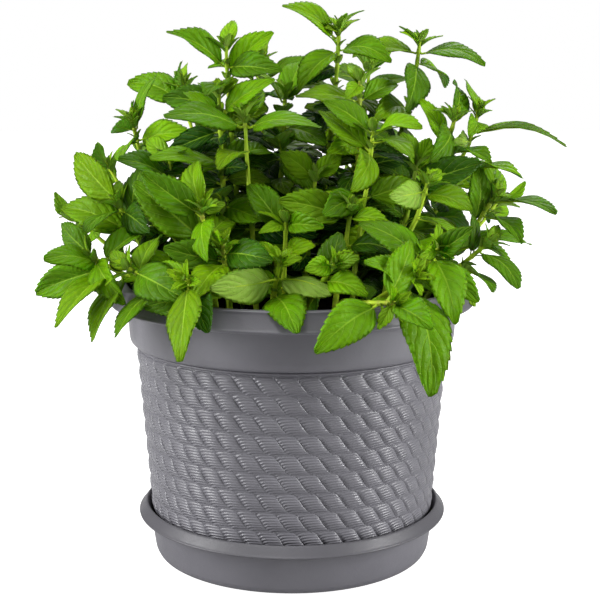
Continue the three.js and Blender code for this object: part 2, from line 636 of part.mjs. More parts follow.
const plant = new THREE.Group();
plant.add(namedMesh('soil', soil, SOIL_BROWN, 0.95));
grownShoots.forEach(({ solids }, index) => {
  const name = `shoot_${String(index + 1).padStart(2, '0')}`;
  const place = new THREE.Vector3(...shoots[index].foot, SOIL_TOP);
  const green = LEAF_GREENS[index % LEAF_GREENS.length];
  plant.add(namedMesh(name, wasm.Manifold.union(solids), green, 0.6, place));
});

const pottedMint = new THREE.Group();
pottedMint.add(vessel, plant);

export default pottedMint;
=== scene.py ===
"""A potted mint plant in a grey plastic planter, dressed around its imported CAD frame.

Sizes are in millimetres in this file and in metres in Blender. The origin is the middle of the saucer's
underside, +Z is up and the front faces -Y.
"""

from __future__ import annotations

import json
import logging
import math
from dataclasses import dataclass, field
from enum import Enum, IntEnum

import bpy
import numpy as np
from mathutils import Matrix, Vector, noise

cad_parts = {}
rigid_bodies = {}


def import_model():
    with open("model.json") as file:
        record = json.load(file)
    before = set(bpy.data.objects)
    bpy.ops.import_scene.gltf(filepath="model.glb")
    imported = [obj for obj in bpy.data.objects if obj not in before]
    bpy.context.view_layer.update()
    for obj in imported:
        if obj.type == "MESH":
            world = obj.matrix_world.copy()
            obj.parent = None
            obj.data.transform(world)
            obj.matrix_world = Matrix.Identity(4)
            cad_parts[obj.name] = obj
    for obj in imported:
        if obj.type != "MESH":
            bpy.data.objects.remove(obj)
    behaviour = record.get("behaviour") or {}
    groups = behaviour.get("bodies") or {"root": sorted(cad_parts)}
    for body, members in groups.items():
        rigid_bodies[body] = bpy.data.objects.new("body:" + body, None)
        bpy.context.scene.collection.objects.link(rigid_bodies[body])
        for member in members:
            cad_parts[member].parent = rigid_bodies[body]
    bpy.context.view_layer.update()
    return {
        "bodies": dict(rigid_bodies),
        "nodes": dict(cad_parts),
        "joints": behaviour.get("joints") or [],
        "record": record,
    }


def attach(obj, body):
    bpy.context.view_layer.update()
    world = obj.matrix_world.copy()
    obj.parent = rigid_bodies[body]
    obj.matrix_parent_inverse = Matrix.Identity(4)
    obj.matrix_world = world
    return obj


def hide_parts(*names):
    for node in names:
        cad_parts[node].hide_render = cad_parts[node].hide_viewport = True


LOG = logging.getLogger("potted_mint")
METRES = 0.001
FULL_TURN = 2 * math.pi

# Sizes that the frame's solids were made with
POT_HEIGHT = 194.0
SAUCER_FLOOR = 3.0
POT_BOTTOM = 3.3
POT_FLOOR = 5.8
CLEARANCE = 0.3
STRANDS = 48
ROPE_ROWS = 9
CORDS = 7.5
ROPE_LOW, ROPE_HIGH = 31.2, 150.0
ROPE_LOW_RADIUS, ROPE_HIGH_RADIUS = 98.3, 107.6
DRAIN_HOLES, DRAIN_RADIUS, DRAIN_RING = 4, 4.0, 55.0
POT_INSIDE = [(91.5, POT_FLOOR), (93.0, ROPE_LOW), (105.1, ROPE_HIGH), (112.6, 186.0)]
SOIL_TOP = 174.0
STEM_BURIED = 12.0

SEED = 11
NODE_DROPS = [0.5, 2, 7, 14, 24, 46, 76]
STEM_DROPS = [24, 60]
BARE_SHARE = 0.2
LEAF_WIDTH = 0.45
PETIOLE_SHARE = 0.11
LIGHT_BEHIND, LIGHT_HEIGHT = 90.0, 85.0
MATCH_WITHIN = 0.05

# The weights and the spread of the repeatable draw
SHOOT_STEP, LEAF_STEP, PURPOSE_STEP, DRAW_SPREAD = 12.9898, 78.233, 37.719, 43758.5453

# The pot's foot, its upper wall with the inside, and the saucer, as (radius, height)
POT_FOOT = [(0.0, POT_BOTTOM), (94.0, POT_BOTTOM), (95.1, 28.8), (98.3, 31.0)]
POT_UPPER = [
    (107.7, 150.4), (109.2, 150.9), (109.8, 151.7), (109.2, 152.5), (108.6, 152.9), (111.6, 153.3),
    (113.4, 155.0), (114.1, 158.5), (114.9, 176.6), (115.3, 179.6), (126.2, 180.7), (127.2, 181.3),
    (127.2, 182.4), (126.4, 182.9), (121.3, 192.2), (121.2, 193.4), (120.6, POT_HEIGHT), (115.2, POT_HEIGHT),
    (114.0, 193.2), (113.2, 190.5), *reversed(POT_INSIDE), (0.0, POT_FLOOR)]
SAUCER = [
    (0, 0), (91.5, 0), (96.4, 1.2), (98.2, 4.6), (101.4, 27.4), (102.2, 28.8), (108.7, 29.1), (109.6, 29.6),
    (109.6, 30.6), (108.8, 31.2), (104.8, 36.7), (103.7, 37.3), (102.7, 36.0), (99.4, 26),
    (96.2, SAUCER_FLOOR), (0, SAUCER_FLOOR)]
# How far from a corner its rounding starts
FOOT_ROUNDING, EDGE_ROUNDING = 1.6, 0.9

# Where shade is painted on the plastic: the rim's face under its top edge, deepening upwards, and the
# saucer's lip
RIM_FACE_LOW, RIM_FACE_RADIUS = 182.8, 118.0
PAINTED_SHADE_LOW, PAINTED_SHADE_RISE = 179.0, 12.0
LIP_LOW, LIP_RADIUS = 29.3, 102.5

# The photo's camera: in millimetres and degrees, and in pixels of the picture
CAMERA_DISTANCE, CAMERA_HEIGHT, CAMERA_PITCH = 902.0, 342.0, 10.2
FOCAL, MIDDLE_X, MIDDLE_Y, PICTURE_WIDTH = 1300.0, 291.9, 300.0, 600.0
SENSOR_WIDTH = 36.0

# The side veins of a leaf: their pairs, how far and in what curve they sweep towards the tip, and how far
# the veins of one half are ahead of the other's
VEIN_PAIRS, VEIN_LEAN, VEIN_CURVE, VEIN_STAGGER = 5.0, 0.44, 1.2, 0.3

# A blade's outline: how it swells and tapers, what that curve reaches at its widest, and its thinnest edge
BLADE_SWELL, BLADE_TAPER, BLADE_WIDEST, BLADE_EDGE = 0.55, 0.85, 0.3914, 0.016
TOOTH_POINT, TOOTH_DEPTH, TINY_TOOTH_DEPTH, TOOTH_BASE, TOOTH_MEAN = 0.75, 0.045, 0.03, 1.02, 0.55

# The form on a blade, in shares of its length: pillows between the veins and the groove of the midrib
PILLOW_RISE, GROOVE_DEPTH, GROOVE_WIDTH = 0.0035, 0.008, 0.12

# Lengths over which a leaf has the most teeth and under which it has few, and the plant's rough size
LARGE_LEAF, SMALL_LEAF, LEAF_ROLL = 33.0, 22.0, 30.0
PLANT_HEIGHT, PLANT_RADIUS, PLANT_BACK = 190.0, 130.0, 10.0

# A petiole's stations in shares of it back to the stem, the rib's in shares of the blade, and the radii
# at all of them
PETIOLE_STATIONS, RIB_STATIONS = (1.0, 0.55, 0.15), (0.1, 0.26, 0.44, 0.62, 0.8)
RIB_RADII = (1.05, 0.8, 0.74, 0.66, 0.52, 0.4, 0.28, 0.1)

# A stem's points, its radius at the bud, what it gains down to the soil, and how it swells at a node
STEM_MARKS, STEM_THIN, STEM_GAIN = 26, 1.15, 0.8
NODE_SWELL, NODE_REACH = 0.28, 1.6

UP = np.array([0.0, 0.0, 1.0])


def unit(vector: np.ndarray) -> np.ndarray:
    """Return the vector at length one."""
    return vector / np.linalg.norm(vector)


def sight_line(x: float, y: float) -> tuple[np.ndarray, np.ndarray]:
    """Return where the camera stands, and which way it sees a place in the picture.

    Args:
        x: The place's pixels from the left.
        y: Its pixels from the top.

    Returns:
        The camera's place, and the unit way of sight.
    """
    pitch = math.radians(CAMERA_PITCH)
    ahead = np.array([(x - MIDDLE_X) / FOCAL, math.cos(pitch), -math.sin(pitch)])
    up = np.array([0.0, math.sin(pitch), math.cos(pitch)])
    return np.array([0.0, -CAMERA_DISTANCE, CAMERA_HEIGHT]), unit(ahead + up * (MIDDLE_Y - y) / FOCAL)


def bud_at(x: float, y: float, behind: float) -> tuple[float, ...]:
    """Return the bud that shows at a place in the picture, that far behind the axis."""
    eye, way = sight_line(x, y)
    return tuple(eye + way * (behind - eye[1]) / way[1])


@dataclass(frozen=True)
class LeafPlace:
    """The node that a leaf grows from, its length, and which way it runs or where its tip shows."""

    node: int
    length: float
    turn: float = 0.0
    lift: float = 0.0
    seen: tuple[float, float] | None = None
    side: int = 0

    def aim(self, root: np.ndarray) -> tuple[float, float]:
        """Return the turn and lift from a root, so that a tip that shows is on its line of sight.

        Args:
            root: Where the leaf leaves its stem.

        Returns:
            The turn and the lift, in degrees.
        """
        if self.seen is None:
            return self.turn, self.lift
        eye, way = sight_line(*self.seen)
        middle = eye + way * ((root - eye) @ way)
        spare = math.sqrt(max(self.length ** 2 - float(np.sum((middle - root) ** 2)), 0.0))
        run = unit(middle + way * self.side * spare - root)
        return math.degrees(math.atan2(run[1], run[0])), math.degrees(math.asin(run[2]))


def near(node: int, x: float, y: float, length: float) -> LeafPlace:
    """Give a leaf whose tip shows at a place in the picture, on the near side of its stem."""
    return LeafPlace(node, length, seen=(x, y), side=-1)


def far(node: int, x: float, y: float, length: float) -> LeafPlace:
    """Give a leaf whose tip shows at a place in the picture, on the far side of its stem."""
    return LeafPlace(node, length, seen=(x, y), side=1)


def hidden(node: int, turn: float, lift: float, length: float) -> LeafPlace:
    """Give a leaf that doesn't show, by its turn from +X towards +Y and its lift, in degrees."""
    return LeafPlace(node, length, turn, lift)


# Shoots that show in front: (foot, bud, upturn, leaves)
FRONT_SHOOTS = [
    ((-35, 5), bud_at(226, 46, 10), 0.6, [near(3, 168, 30, 48), near(3, 279, 68, 44),
     far(1, 232, 19, 24), far(4, 272, 29, 46), near(4, 206, 94, 42), far(5, 163, 94, 48)]),
    ((-44, -20), bud_at(219, 93, -10), 0.6, [near(3, 272, 77, 45), near(3, 186, 92, 30),
     far(1, 226, 74, 19), near(5, 150, 158, 56), far(5, 262, 150, 40), hidden(6, 150, -6, 44),
     hidden(6, -50, -8, 42)]),
    ((-24, -40), bud_at(245, 115, -25), 0.7, [near(2, 164, 116, 60), near(2, 320, 125, 57),
     far(1, 257, 78, 34), near(4, 218, 165, 38), far(4, 275, 150, 34), hidden(6, 165, -4, 46),
     hidden(6, -20, -4, 46)]),
    ((-12, -8), bud_at(285, 92, 30), 0.8, [far(2, 302, 58, 42), near(2, 252, 70, 42),
     near(4, 325, 140, 44), far(5, 240, 180, 44), near(5, 312, 185, 42), hidden(6, -140, -10, 46),
     hidden(6, 20, -10, 44)]),
    ((18, 22), bud_at(339, 28, 25), 0.8, [near(2, 282, 6, 46), near(1, 364, 10, 26),
     near(1, 326, 27, 14), near(3, 390, 56, 42), near(3, 299, 91, 46), far(5, 370, 120, 44)]),
    ((52, 30), bud_at(420, 41, 35), 0.7, [near(1, 400, 32, 19), far(2, 352, 52, 48),
     near(2, 486, 62, 48), near(3, 409, 109, 50), far(3, 448, 84, 40), near(5, 376, 118, 46)]),
    ((44, -12), bud_at(360, 80, 0), 0.7, [far(1, 351, 61, 22), near(1, 346, 99, 22),
     near(3, 297, 93, 46), far(3, 398, 84, 36), near(5, 330, 150, 40), hidden(5, 60, -4, 44),
     hidden(6, -60, -10, 44)]),
    ((40, -42), bud_at(373, 130, -35), 0.7, [far(1, 339, 100, 40), near(2, 413, 150, 42),
     near(1, 421, 125, 40), near(3, 357, 186, 48), far(3, 319, 110, 46), far(5, 400, 190, 40),
     hidden(5, -140, -8, 44), hidden(6, -30, -12, 44)]),
    ((70, 2), bud_at(455, 117, 0), 0.6, [far(1, 459, 80, 42), near(2, 434, 160, 44),
     near(1, 433, 110, 18), near(4, 492, 160, 40), far(4, 425, 95, 40)]),
    ((84, 24), bud_at(479, 110, 12), 0.5, [far(1, 466, 79, 34), near(2, 473, 133, 30),
     near(3, 567, 134, 66), near(4, 450, 140, 32), near(5, 523, 178, 54)]),
    ((88, -14), bud_at(495, 197, -10), 0.4, [far(2, 469, 163, 40), near(1, 557, 213, 49),
     far(1, 500, 180, 19), near(3, 525, 238, 42), far(4, 480, 160, 42), near(5, 513, 257, 50)]),
    ((60, -44), bud_at(428, 182, -50), 0.6, [near(2, 471, 209, 40), far(1, 441, 168, 19),
     near(2, 392, 196, 38), near(4, 459, 233, 42), near(5, 403, 246, 44)]),
    ((66, -62), bud_at(439, 247, -95), 0.3, [near(2, 471, 230, 32), near(1, 420, 256, 20),
     hidden(4, 120, 10, 44), far(3, 384, 204, 50), near(2, 458, 318, 54), near(4, 479, 297, 48)]),
    ((86, -40), bud_at(488, 243, -45), 0.3, [far(1, 500, 226, 20), near(2, 520, 287, 42),
     far(3, 468, 214, 34), near(4, 494, 290, 46), hidden(4, 110, 0, 40)]),
    ((22, -84), bud_at(395, 303, -135), 0.1, [far(2, 416, 239, 46), near(1, 433, 328, 38),
     near(1, 378, 330, 18), near(3, 318, 349, 54), far(4, 354, 281, 30)]),
    ((48, -78), bud_at(414, 276, -112), 0.2, [near(2, 440, 389, 76), far(3, 440, 265, 30),
     near(3, 366, 262, 40)]),
    ((-50, -54), bud_at(201, 207, -72), 0.6, [far(1, 194, 159, 40), near(1, 223, 203, 18),
     near(2, 204, 257, 40), far(4, 122, 172, 60), far(2, 137, 168, 48), far(4, 240, 215, 38)]),
    ((-40, -70), bud_at(222, 243, -88), 0.3, [near(2, 270, 258, 42), near(3, 194, 293, 44),
     near(1, 205, 232, 18), near(3, 178, 252, 40)]),
    ((-14, -78), bud_at(280, 261, -92), 0.5, [far(1, 259, 242, 22), near(1, 300, 257, 18),
     near(3, 331, 289, 42), near(3, 212, 288, 50), near(4, 321, 344, 58)]),
    ((-6, -52), bud_at(286, 221, -62), 0.6, [near(1, 322, 226, 32), near(1, 260, 231, 22),
     far(2, 247, 182, 44), near(4, 312, 246, 36), near(5, 262, 285, 38), hidden(5, 70, 4, 40)]),
    ((28, -58), bud_at(351, 207, -58), 0.6, [far(1, 354, 187, 20), near(1, 336, 212, 16),
     near(2, 376, 222, 30), near(2, 296, 203, 48), far(2, 385, 170, 40)]),
    ((6, -86), bud_at(335, 264, -102), 0.3, [near(1, 306, 269, 24), near(1, 358, 257, 20),
     far(3, 340, 232, 32), near(3, 352, 296, 34)]),
    ((-84, -14), bud_at(117, 201, -20), 0.5, [far(1, 73, 153, 54), near(2, 149, 231, 40),
     far(1, 118, 181, 20), near(2, 82, 228, 38), far(4, 142, 140, 48), far(4, 60, 205, 56)]),
    ((-80, -46), bud_at(91, 257, -55), 0.3, [far(1, 59, 224, 38), near(1, 121, 302, 46),
     far(2, 145, 219, 50), near(2, 44, 258, 42), near(3, 56, 328, 62), far(3, 32, 291, 58),
     near(4, 88, 336, 60)]),
    ((-74, 20), bud_at(132, 120, 20), 0.6, [far(2, 153, 73, 44), near(2, 110, 126, 28),
     far(1, 140, 101, 20), near(3, 191, 132, 46), near(3, 118, 158, 42)]),
    ((-72, -66), bud_at(128, 268, -78), 0.1, [near(1, 201, 300, 58), far(1, 110, 252, 22),
     far(2, 160, 232, 40), near(4, 112, 330, 50)]),
    ((-46, -84), bud_at(186, 280, -112), 0.0, [near(1, 190, 362, 56), far(2, 161, 262, 30),
     near(3, 206, 331, 38), near(3, 232, 278, 34), near(4, 152, 300, 40)]),
]

# Shoots behind and inside, whose leaves follow the rule of opposite pairs
OTHER_SHOOTS = [
    ((-45, 45), (-80, 70, 328), 0.6), ((-15, 45), (-25, 78, 345), 0.7), ((32, 54), (58, 86, 340), 0.7),
    ((-78, 42), (-135, 62, 268), 0.4), ((-60, 66), (-98, 112, 262), 0.4), ((-20, 76), (-34, 130, 288), 0.5),
    ((26, 78), (46, 130, 284), 0.5), ((76, 50), (128, 92, 262), 0.4), ((92, 6), (150, 46, 244), 0.4),
    ((-94, 6), (-152, 18, 236), 0.4), ((-44, 86), (-72, 150, 218), 0.2), ((-4, 96), (0, 158, 212), 0.2),
    ((42, 90), (78, 148, 216), 0.2), ((8, -22), (16, -18, 268), 0.8), ((-62, -16), (-82, -24, 280), 0.7),
    ((66, -20), (84, -22, 276), 0.7),
]
RULED_PAIRS = [(1, 46, 28), (3, 16, 48), (5, -6, 54), (6, -16, 52)]
RULED_STRAY = 24
STEM_SWAYS = [0, 5, -5, 10, -10, 16, -16]
# The rings of tiny leaves round a bud, as (how far below it, length, how far they open in degrees)
CROWN_LEVELS = ((0.2, 6.0, 14), (0.8, 10.0, 28), (2.0, 15.0, 44), (4.5, 19.0, 56))
# Leaves that hang with their pale underside out, as (shoot, leaf), both counted from 0, and how far those
# are rolled over
TURNED_OVER = {(18, 2), (18, 3), (11, 2), (9, 3)}
ROLLED_OVER = 165.0


class LeafTone(Enum):
    """How light a leaf is, from 0 to 1, for the front leaves that stand out."""

    DEEP = 0.12
    MIDDLE = 0.29
    CLEAR = 0.42
    BRIGHT = 0.56


# The front leaves that stand out, as (shoot, leaf), both counted from 0, under the tone given to each
TONED_LEAVES = {
    LeafTone.DEEP: {(17, 0), (22, 1), (26, 2)},
    LeafTone.MIDDLE: {
        (0, 1), (0, 4), (2, 0), (5, 2), (5, 3), (7, 1), (8, 0), (8, 1), (10, 1), (10, 3), (11, 0), (13, 1),
        (13, 3), (16, 3), (16, 4), (16, 5), (22, 3), (23, 0), (24, 1), (25, 0), (25, 3), (26, 0), (26, 4)},
    LeafTone.CLEAR: {
        (0, 0), (2, 1), (4, 3), (4, 4), (7, 0), (7, 3), (9, 2), (10, 5), (12, 5), (14, 1), (14, 2), (15, 0),
        (18, 4), (22, 0), (23, 3), (23, 4), (23, 5), (23, 6), (24, 0)},
    LeafTone.BRIGHT: {(4, 0), (12, 4), (14, 0), (14, 3), (16, 0), (16, 2), (23, 1)},
}
LEAF_TRIES = [(size, rise, turn) for size in (1, 0.86, 0.72) for rise in (0, 12, -12, 24)
              for turn in (0, 10, -10, 20, -20, 32, -32)]


class Draw(IntEnum):
    """What a repeatable draw is for; HEADING, LIFT and LENGTH are each followed by one for the twin leaf."""

    START = 1
    HEADING = 2
    LIFT = 4
    LENGTH = 6
    ARCH = 11
    FOLD = 12
    WAVE = 13
    ROLL = 14
    TONE = 21
    LOT = 22
    TWIST = 23
    WIDTH = 24
    DROOP = 25
    SWAY = 26
    STEM_LOT = 31


def draw(shoot: int, leaf: int, purpose: int) -> float:
    """Return the frame's repeatable value from 0 to 1 for a shoot, a leaf and a purpose."""
    mixed = math.sin(shoot * SHOOT_STEP + leaf * LEAF_STEP + purpose * PURPOSE_STEP + SEED) * DRAW_SPREAD
    return mixed - math.floor(mixed)


def lerp(low: float, high: float, share: float) -> float:
    """Return the value that share of the way from low to high."""
    return low + (high - low) * share


# Node trees


class Bench:
    """A node tree with short ways to place nodes and join their sockets."""

    def __init__(self, tree: bpy.types.NodeTree) -> None:
        """Keep the tree that nodes go into."""
        self.tree = tree

    def feed(self, socket: bpy.types.NodeSocket, value: object) -> None:
        """Join a socket to another, or set its own value.

        Args:
            socket: The input.
            value: A socket to join to it, or a plain value.
        """
        if isinstance(value, bpy.types.NodeSocket):
            self.tree.links.new(value, socket)
        else:
            socket.default_value = value

    def node(self, kind: str, inputs: dict | None = None, **settings: object) -> bpy.types.Node:
        """Place a node.

        Args:
            kind: The node's type name.
            inputs: Values or sockets by the name or place of the input.
            settings: Attributes of the node.

        Returns:
            The new node.
        """
        made = self.tree.nodes.new(kind)
        for name, value in settings.items():
            setattr(made, name, value)
        for name, value in (inputs or {}).items():
            self.feed(made.inputs[name], value)
        return made

    def math(self, operation: str, first: object, second: object = 0.0, third: object = 0.0) -> object:
        """Return the output of a math node on up to three values.

        Args:
            operation: The node's operation.
            first: Its first value or socket.
            second: Its second.
            third: Its third, where a product has a sum.

        Returns:
            The node's output.
        """
        made = self.node("ShaderNodeMath", {0: first, 1: second}, operation=operation)
        if operation == "MULTIPLY_ADD":
            self.feed(made.inputs[2], third)
        return made.outputs[0]

    def times(self, first: object, second: object) -> object:
        """Return the product of two values."""
        return self.math("MULTIPLY", first, second)

    def times_plus(self, first: object, second: object, third: object) -> object:
        """Return the product of two values with a third added."""
        return self.math("MULTIPLY_ADD", first, second, third)

    def plus(self, first: object, second: object) -> object:
        """Return the sum of two values."""
        return self.math("ADD", first, second)

    def minus(self, first: object, second: object) -> object:
        """Return the first value less the second."""
        return self.math("SUBTRACT", first, second)

    def power(self, base: object, exponent: object) -> object:
        """Return a value raised to a power."""
        return self.math("POWER", base, exponent)

    def ease(self, value: object, low: float, high: float, start: float = 0.0, end: float = 1.0) -> object:
        """Return the value eased from start at low to end at high."""
        inputs = {"Value": value, "From Min": low, "From Max": high, "To Min": start, "To Max": end}
        return self.node("ShaderNodeMapRange", inputs, interpolation_type="SMOOTHSTEP").outputs[0]

    def mix(self, share: object, first: object, second: object, blend: str = "MIX") -> object:
        """Return two colours mixed by a share.

        Args:
            share: The share of the second.
            first: The first colour.
            second: The second colour.
            blend: How they are mixed.

        Returns:
            The node's output.
        """
        made = self.node("ShaderNodeMix", data_type="RGBA", blend_type=blend)
        for place, value in ((0, share), (6, first), (7, second)):
            self.feed(made.inputs[place], value)
        return made.outputs[2]

    def noise(self, vector: object, scale: object, detail: float = 3.0, roughness: float = 0.5) -> object:
        """Return a noise value at a place."""
        inputs = {"Vector": vector, "Scale": scale, "Detail": detail, "Roughness": roughness}
        return self.node("ShaderNodeTexNoise", inputs).outputs[0]

    def attribute(self, name: str) -> list[object]:
        """Return the three parts of a vector attribute of the mesh."""
        read = self.node("ShaderNodeAttribute", attribute_name=name).outputs["Vector"]
        return list(self.node("ShaderNodeSeparateXYZ", {0: read}).outputs)

    def place(self) -> object:
        """Return the place on the object, in metres."""
        return self.node("ShaderNodeTexCoord").outputs["Object"]

    def named(self, name: str, kind: str = "FLOAT") -> object:
        """Return a named attribute inside a Geometry Nodes tree."""
        return self.node("GeometryNodeInputNamedAttribute", {"Name": name}, data_type=kind).outputs[0]


Colour = tuple[float, float, float, float]


def linear(value: int) -> float:
    """Return a display value of 0 to 255 as linear light."""
    share = value / 255
    return share / 12.92 if share <= 0.04045 else ((share + 0.055) / 1.055) ** 2.4


def paint(red: int, green: int, blue: int) -> Colour:
    """Return a colour of 0 to 255 display values as linear light."""
    return linear(red), linear(green), linear(blue), 1.0


class SharedEffects:
    """Shader groups that more than one finish uses."""

    def __init__(self) -> None:
        """Build the groups once."""
        self.grain = self.make_grain()
        self.mottle = self.make_mottle()

    @staticmethod
    def open_group(name: str, inputs: list[tuple], outputs: list[tuple]) -> tuple[Bench, dict, object]:
        """Open a shader group with its sockets.

        Args:
            name: The group's name.
            inputs: Each input as (name, socket type, default value).
            outputs: Each output as (name, socket type).

        Returns:
            The bench, the group's inputs by name, and the node of its outputs.
        """
        tree = bpy.data.node_groups.new(name, "ShaderNodeTree")
        for label, kind, value in inputs:
            tree.interface.new_socket(label, in_out="INPUT", socket_type=kind).default_value = value
        for label, kind in outputs:
            tree.interface.new_socket(label, in_out="OUTPUT", socket_type=kind)
        bench = Bench(tree)
        entry = bench.node("NodeGroupInput")
        return bench, {s.name: s for s in entry.outputs if s.name}, bench.node("NodeGroupOutput")

    def make_grain(self) -> bpy.types.NodeTree:
        """Build the fine surface grain: coarse and fine noise in one height, and a mask of its high spots.

        Returns:
            The group.
        """
        bench, given, end = self.open_group(
            "surface_grain",
            [("Scale", "NodeSocketFloat", 600.0), ("Coarse Share", "NodeSocketFloat", 0.5)],
            [("Height", "NodeSocketFloat"), ("Specks", "NodeSocketFloat")])
        place = bench.place()
        fine = bench.noise(place, given["Scale"], 2.0)
        coarse = bench.noise(place, bench.times(given["Scale"], 0.22), 3.0)
        wide = bench.times(coarse, given["Coarse Share"])
        bench.feed(end.inputs["Height"], bench.plus(fine, wide))
        bench.feed(end.inputs["Specks"], bench.ease(fine, 0.62, 0.74))
        return bench.tree

    def make_mottle(self) -> bpy.types.NodeTree:
        """Build the mottle: a base colour drifting between a darker and a lighter one over the surface.

        Returns:
            The group.
        """
        bench, given, end = self.open_group(
            "colour_mottle",
            [("Darker", "NodeSocketColor", (0, 0, 0, 1)), ("Lighter", "NodeSocketColor", (1, 1, 1, 1)),
             ("Scale", "NodeSocketFloat", 40.0), ("Shift", "NodeSocketFloat", 0.0)],
            [("Color", "NodeSocketColor")])
        share = bench.plus(bench.noise(bench.place(), given["Scale"], 4.0, 0.6), given["Shift"])
        blend = bench.ease(share, 0.3, 0.7)
        bench.feed(end.inputs["Color"], bench.mix(blend, given["Darker"], given["Lighter"]))
        return bench.tree


@dataclass(frozen=True)
class Finish:
    """What every finish shares: a name, and a Principled shader set up on a bench."""

    name: str

    def start(self) -> tuple[bpy.types.Material, Bench, bpy.types.Node]:
        """Open the material.

        Returns:
            The material, its bench and its Principled shader.
        """
        material = bpy.data.materials.new(self.name)
        material.use_nodes = True
        bench = Bench(material.node_tree)
        return material, bench, material.node_tree.nodes["Principled BSDF"]

    def group(self, bench: Bench, tree: bpy.types.NodeTree, inputs: dict) -> bpy.types.Node:
        """Place a shared group with this finish's own values.

        Args:
            bench: The material's bench.
            tree: The group.
            inputs: Its inputs by name.

        Returns:
            The group's node.
        """
        made = bench.node("ShaderNodeGroup", node_tree=tree)
        for name, value in inputs.items():
            bench.feed(made.inputs[name], value)
        return made

    def bump(self, bench: Bench, shader: bpy.types.Node, height: object, depth: float) -> None:
        """Raise the surface by a height, of that depth in metres."""
        made = bench.node("ShaderNodeBump", {"Strength": 1.0, "Distance": depth, "Height": height})
        bench.feed(shader.inputs["Normal"], made.outputs[0])

    @staticmethod
    def settle(shader: bpy.types.Node, values: dict[str, object]) -> None:
        """Set the shader's own values, by the names of its inputs."""
        for name, value in values.items():
            shader.inputs[name].default_value = value


@dataclass(frozen=True)
class PlasticFinish(Finish):
    """Moulded satin plastic with a fine grain and a faint bloom, and painted shade on the rim's face and the
    saucer's lip.
    """

    darker: Colour = paint(95, 94, 100)
    lighter: Colour = paint(104, 103, 109)
    rubbed: Colour = paint(150, 149, 154)
    # The colour and share of the painted shade on the rim's face and the saucer's lip
    painted_shade_colour: Colour = paint(62, 61, 65)
    painted_shade_share: float = 0.7
    satin: tuple[float, float] = (0.34, 0.44)
    polish: float = -0.06
    specular: float = 0.4
    bump_depth: float = 0.00022
    cords: float = CORDS

    def cord_height(self, bench: Bench) -> object:
        """Return the height of the fine cords on the strands, in step with the relief's own strands.

        Args:
            bench: The material's bench.

        Returns:
            The height, from -1 to 1.
        """
        x, y, z = bench.node("ShaderNodeSeparateXYZ", {0: bench.place()}).outputs
        row_height = (ROPE_HIGH - ROPE_LOW) / ROPE_ROWS * METRES
        rows = bench.math("DIVIDE", bench.minus(z, ROPE_LOW * METRES), row_height)
        rise = bench.math("FRACT", rows)
        level = bench.math("ARCCOSINE", bench.times_plus(rise, -2.0, 1.0))
        turns = bench.times(bench.math("ARCTAN2", y, x), STRANDS / FULL_TURN)
        across = bench.math("FRACT", bench.times_plus(level, 1 / math.pi, turns))
        curl = bench.power(bench.minus(1.0, across), 4.0)
        phase = bench.times_plus(rise, self.cords, curl)
        cord = bench.math("COSINE", bench.times(phase, FULL_TURN))
        ends = bench.times(bench.ease(across, 0.0, 0.05), bench.ease(across, 0.12, 0.6, 1.0, 0.5))
        ends = bench.times(ends, bench.ease(across, 0.88, 0.93, 1.0, 0.35))
        return bench.times(cord, ends)

    def make(self, effects: SharedEffects) -> bpy.types.Material:
        """Build the material.

        Args:
            effects: The shared shader groups.

        Returns:
            The material.
        """
        material, bench, shader = self.start()
        mottle = self.group(bench, effects.mottle, {"Darker": self.darker, "Lighter": self.lighter,
                                                    "Scale": 16.0})
        grain = self.group(bench, effects.grain, {"Scale": 2200.0, "Coarse Share": 0.7})
        crown, on_rope, painted_shade = bench.attribute("wear")
        worn = bench.times(bench.ease(crown, 0.6, 1.0), 0.08)
        specks = bench.times(grain.outputs["Specks"], bench.ease(crown, 0.2, 1.0, 0.0, 0.15))
        share = bench.plus(worn, specks)
        # The attribute's third part is painted shade: it darkens the rim's face towards its top edge and the
        # saucer's lip
        plain = bench.mix(bench.times(painted_shade, self.painted_shade_share), mottle.outputs[0], self.painted_shade_colour)
        bench.feed(shader.inputs["Base Color"], bench.mix(share, plain, self.rubbed))
        rough = bench.noise(bench.place(), 60.0, 4.0)
        satin = bench.ease(rough, 0.3, 0.7, *self.satin)
        polish = bench.times(bench.times(crown, on_rope), self.polish)
        bench.feed(shader.inputs["Roughness"], bench.plus(satin, polish))
        self.settle(shader, {"Specular IOR Level": self.specular})
        fine = bench.times(grain.outputs["Height"], 0.4)
        height = bench.times_plus(self.cord_height(bench), on_rope, fine)
        self.bump(bench, shader, height, self.bump_depth)
        return material


@dataclass(frozen=True)
class SoilFinish(Finish):
    """Dark potting soil with brown bark in it."""

    darker: Colour = paint(24, 17, 12)
    lighter: Colour = paint(62, 43, 30)
    bark: Colour = paint(104, 70, 44)
    bump_depth: float = 0.0008

    def make(self, effects: SharedEffects) -> bpy.types.Material:
        """Build the material.

        Args:
            effects: The shared shader groups.

        Returns:
            The material.
        """
        material, bench, shader = self.start()
        mottle = self.group(bench, effects.mottle, {"Darker": self.darker, "Lighter": self.lighter,
                                                    "Scale": 120.0})
        grain = self.group(bench, effects.grain, {"Scale": 900.0, "Coarse Share": 1.0})
        bark = bench.ease(bench.noise(bench.place(), 45.0, 2.0), 0.66, 0.74, 0.0, 0.6)
        bench.feed(shader.inputs["Base Color"], bench.mix(bark, mottle.outputs[0], self.bark))
        self.settle(shader, {"Roughness": 0.92, "Specular IOR Level": 0.2})
        self.bump(bench, shader, grain.outputs["Height"], self.bump_depth)
        return material


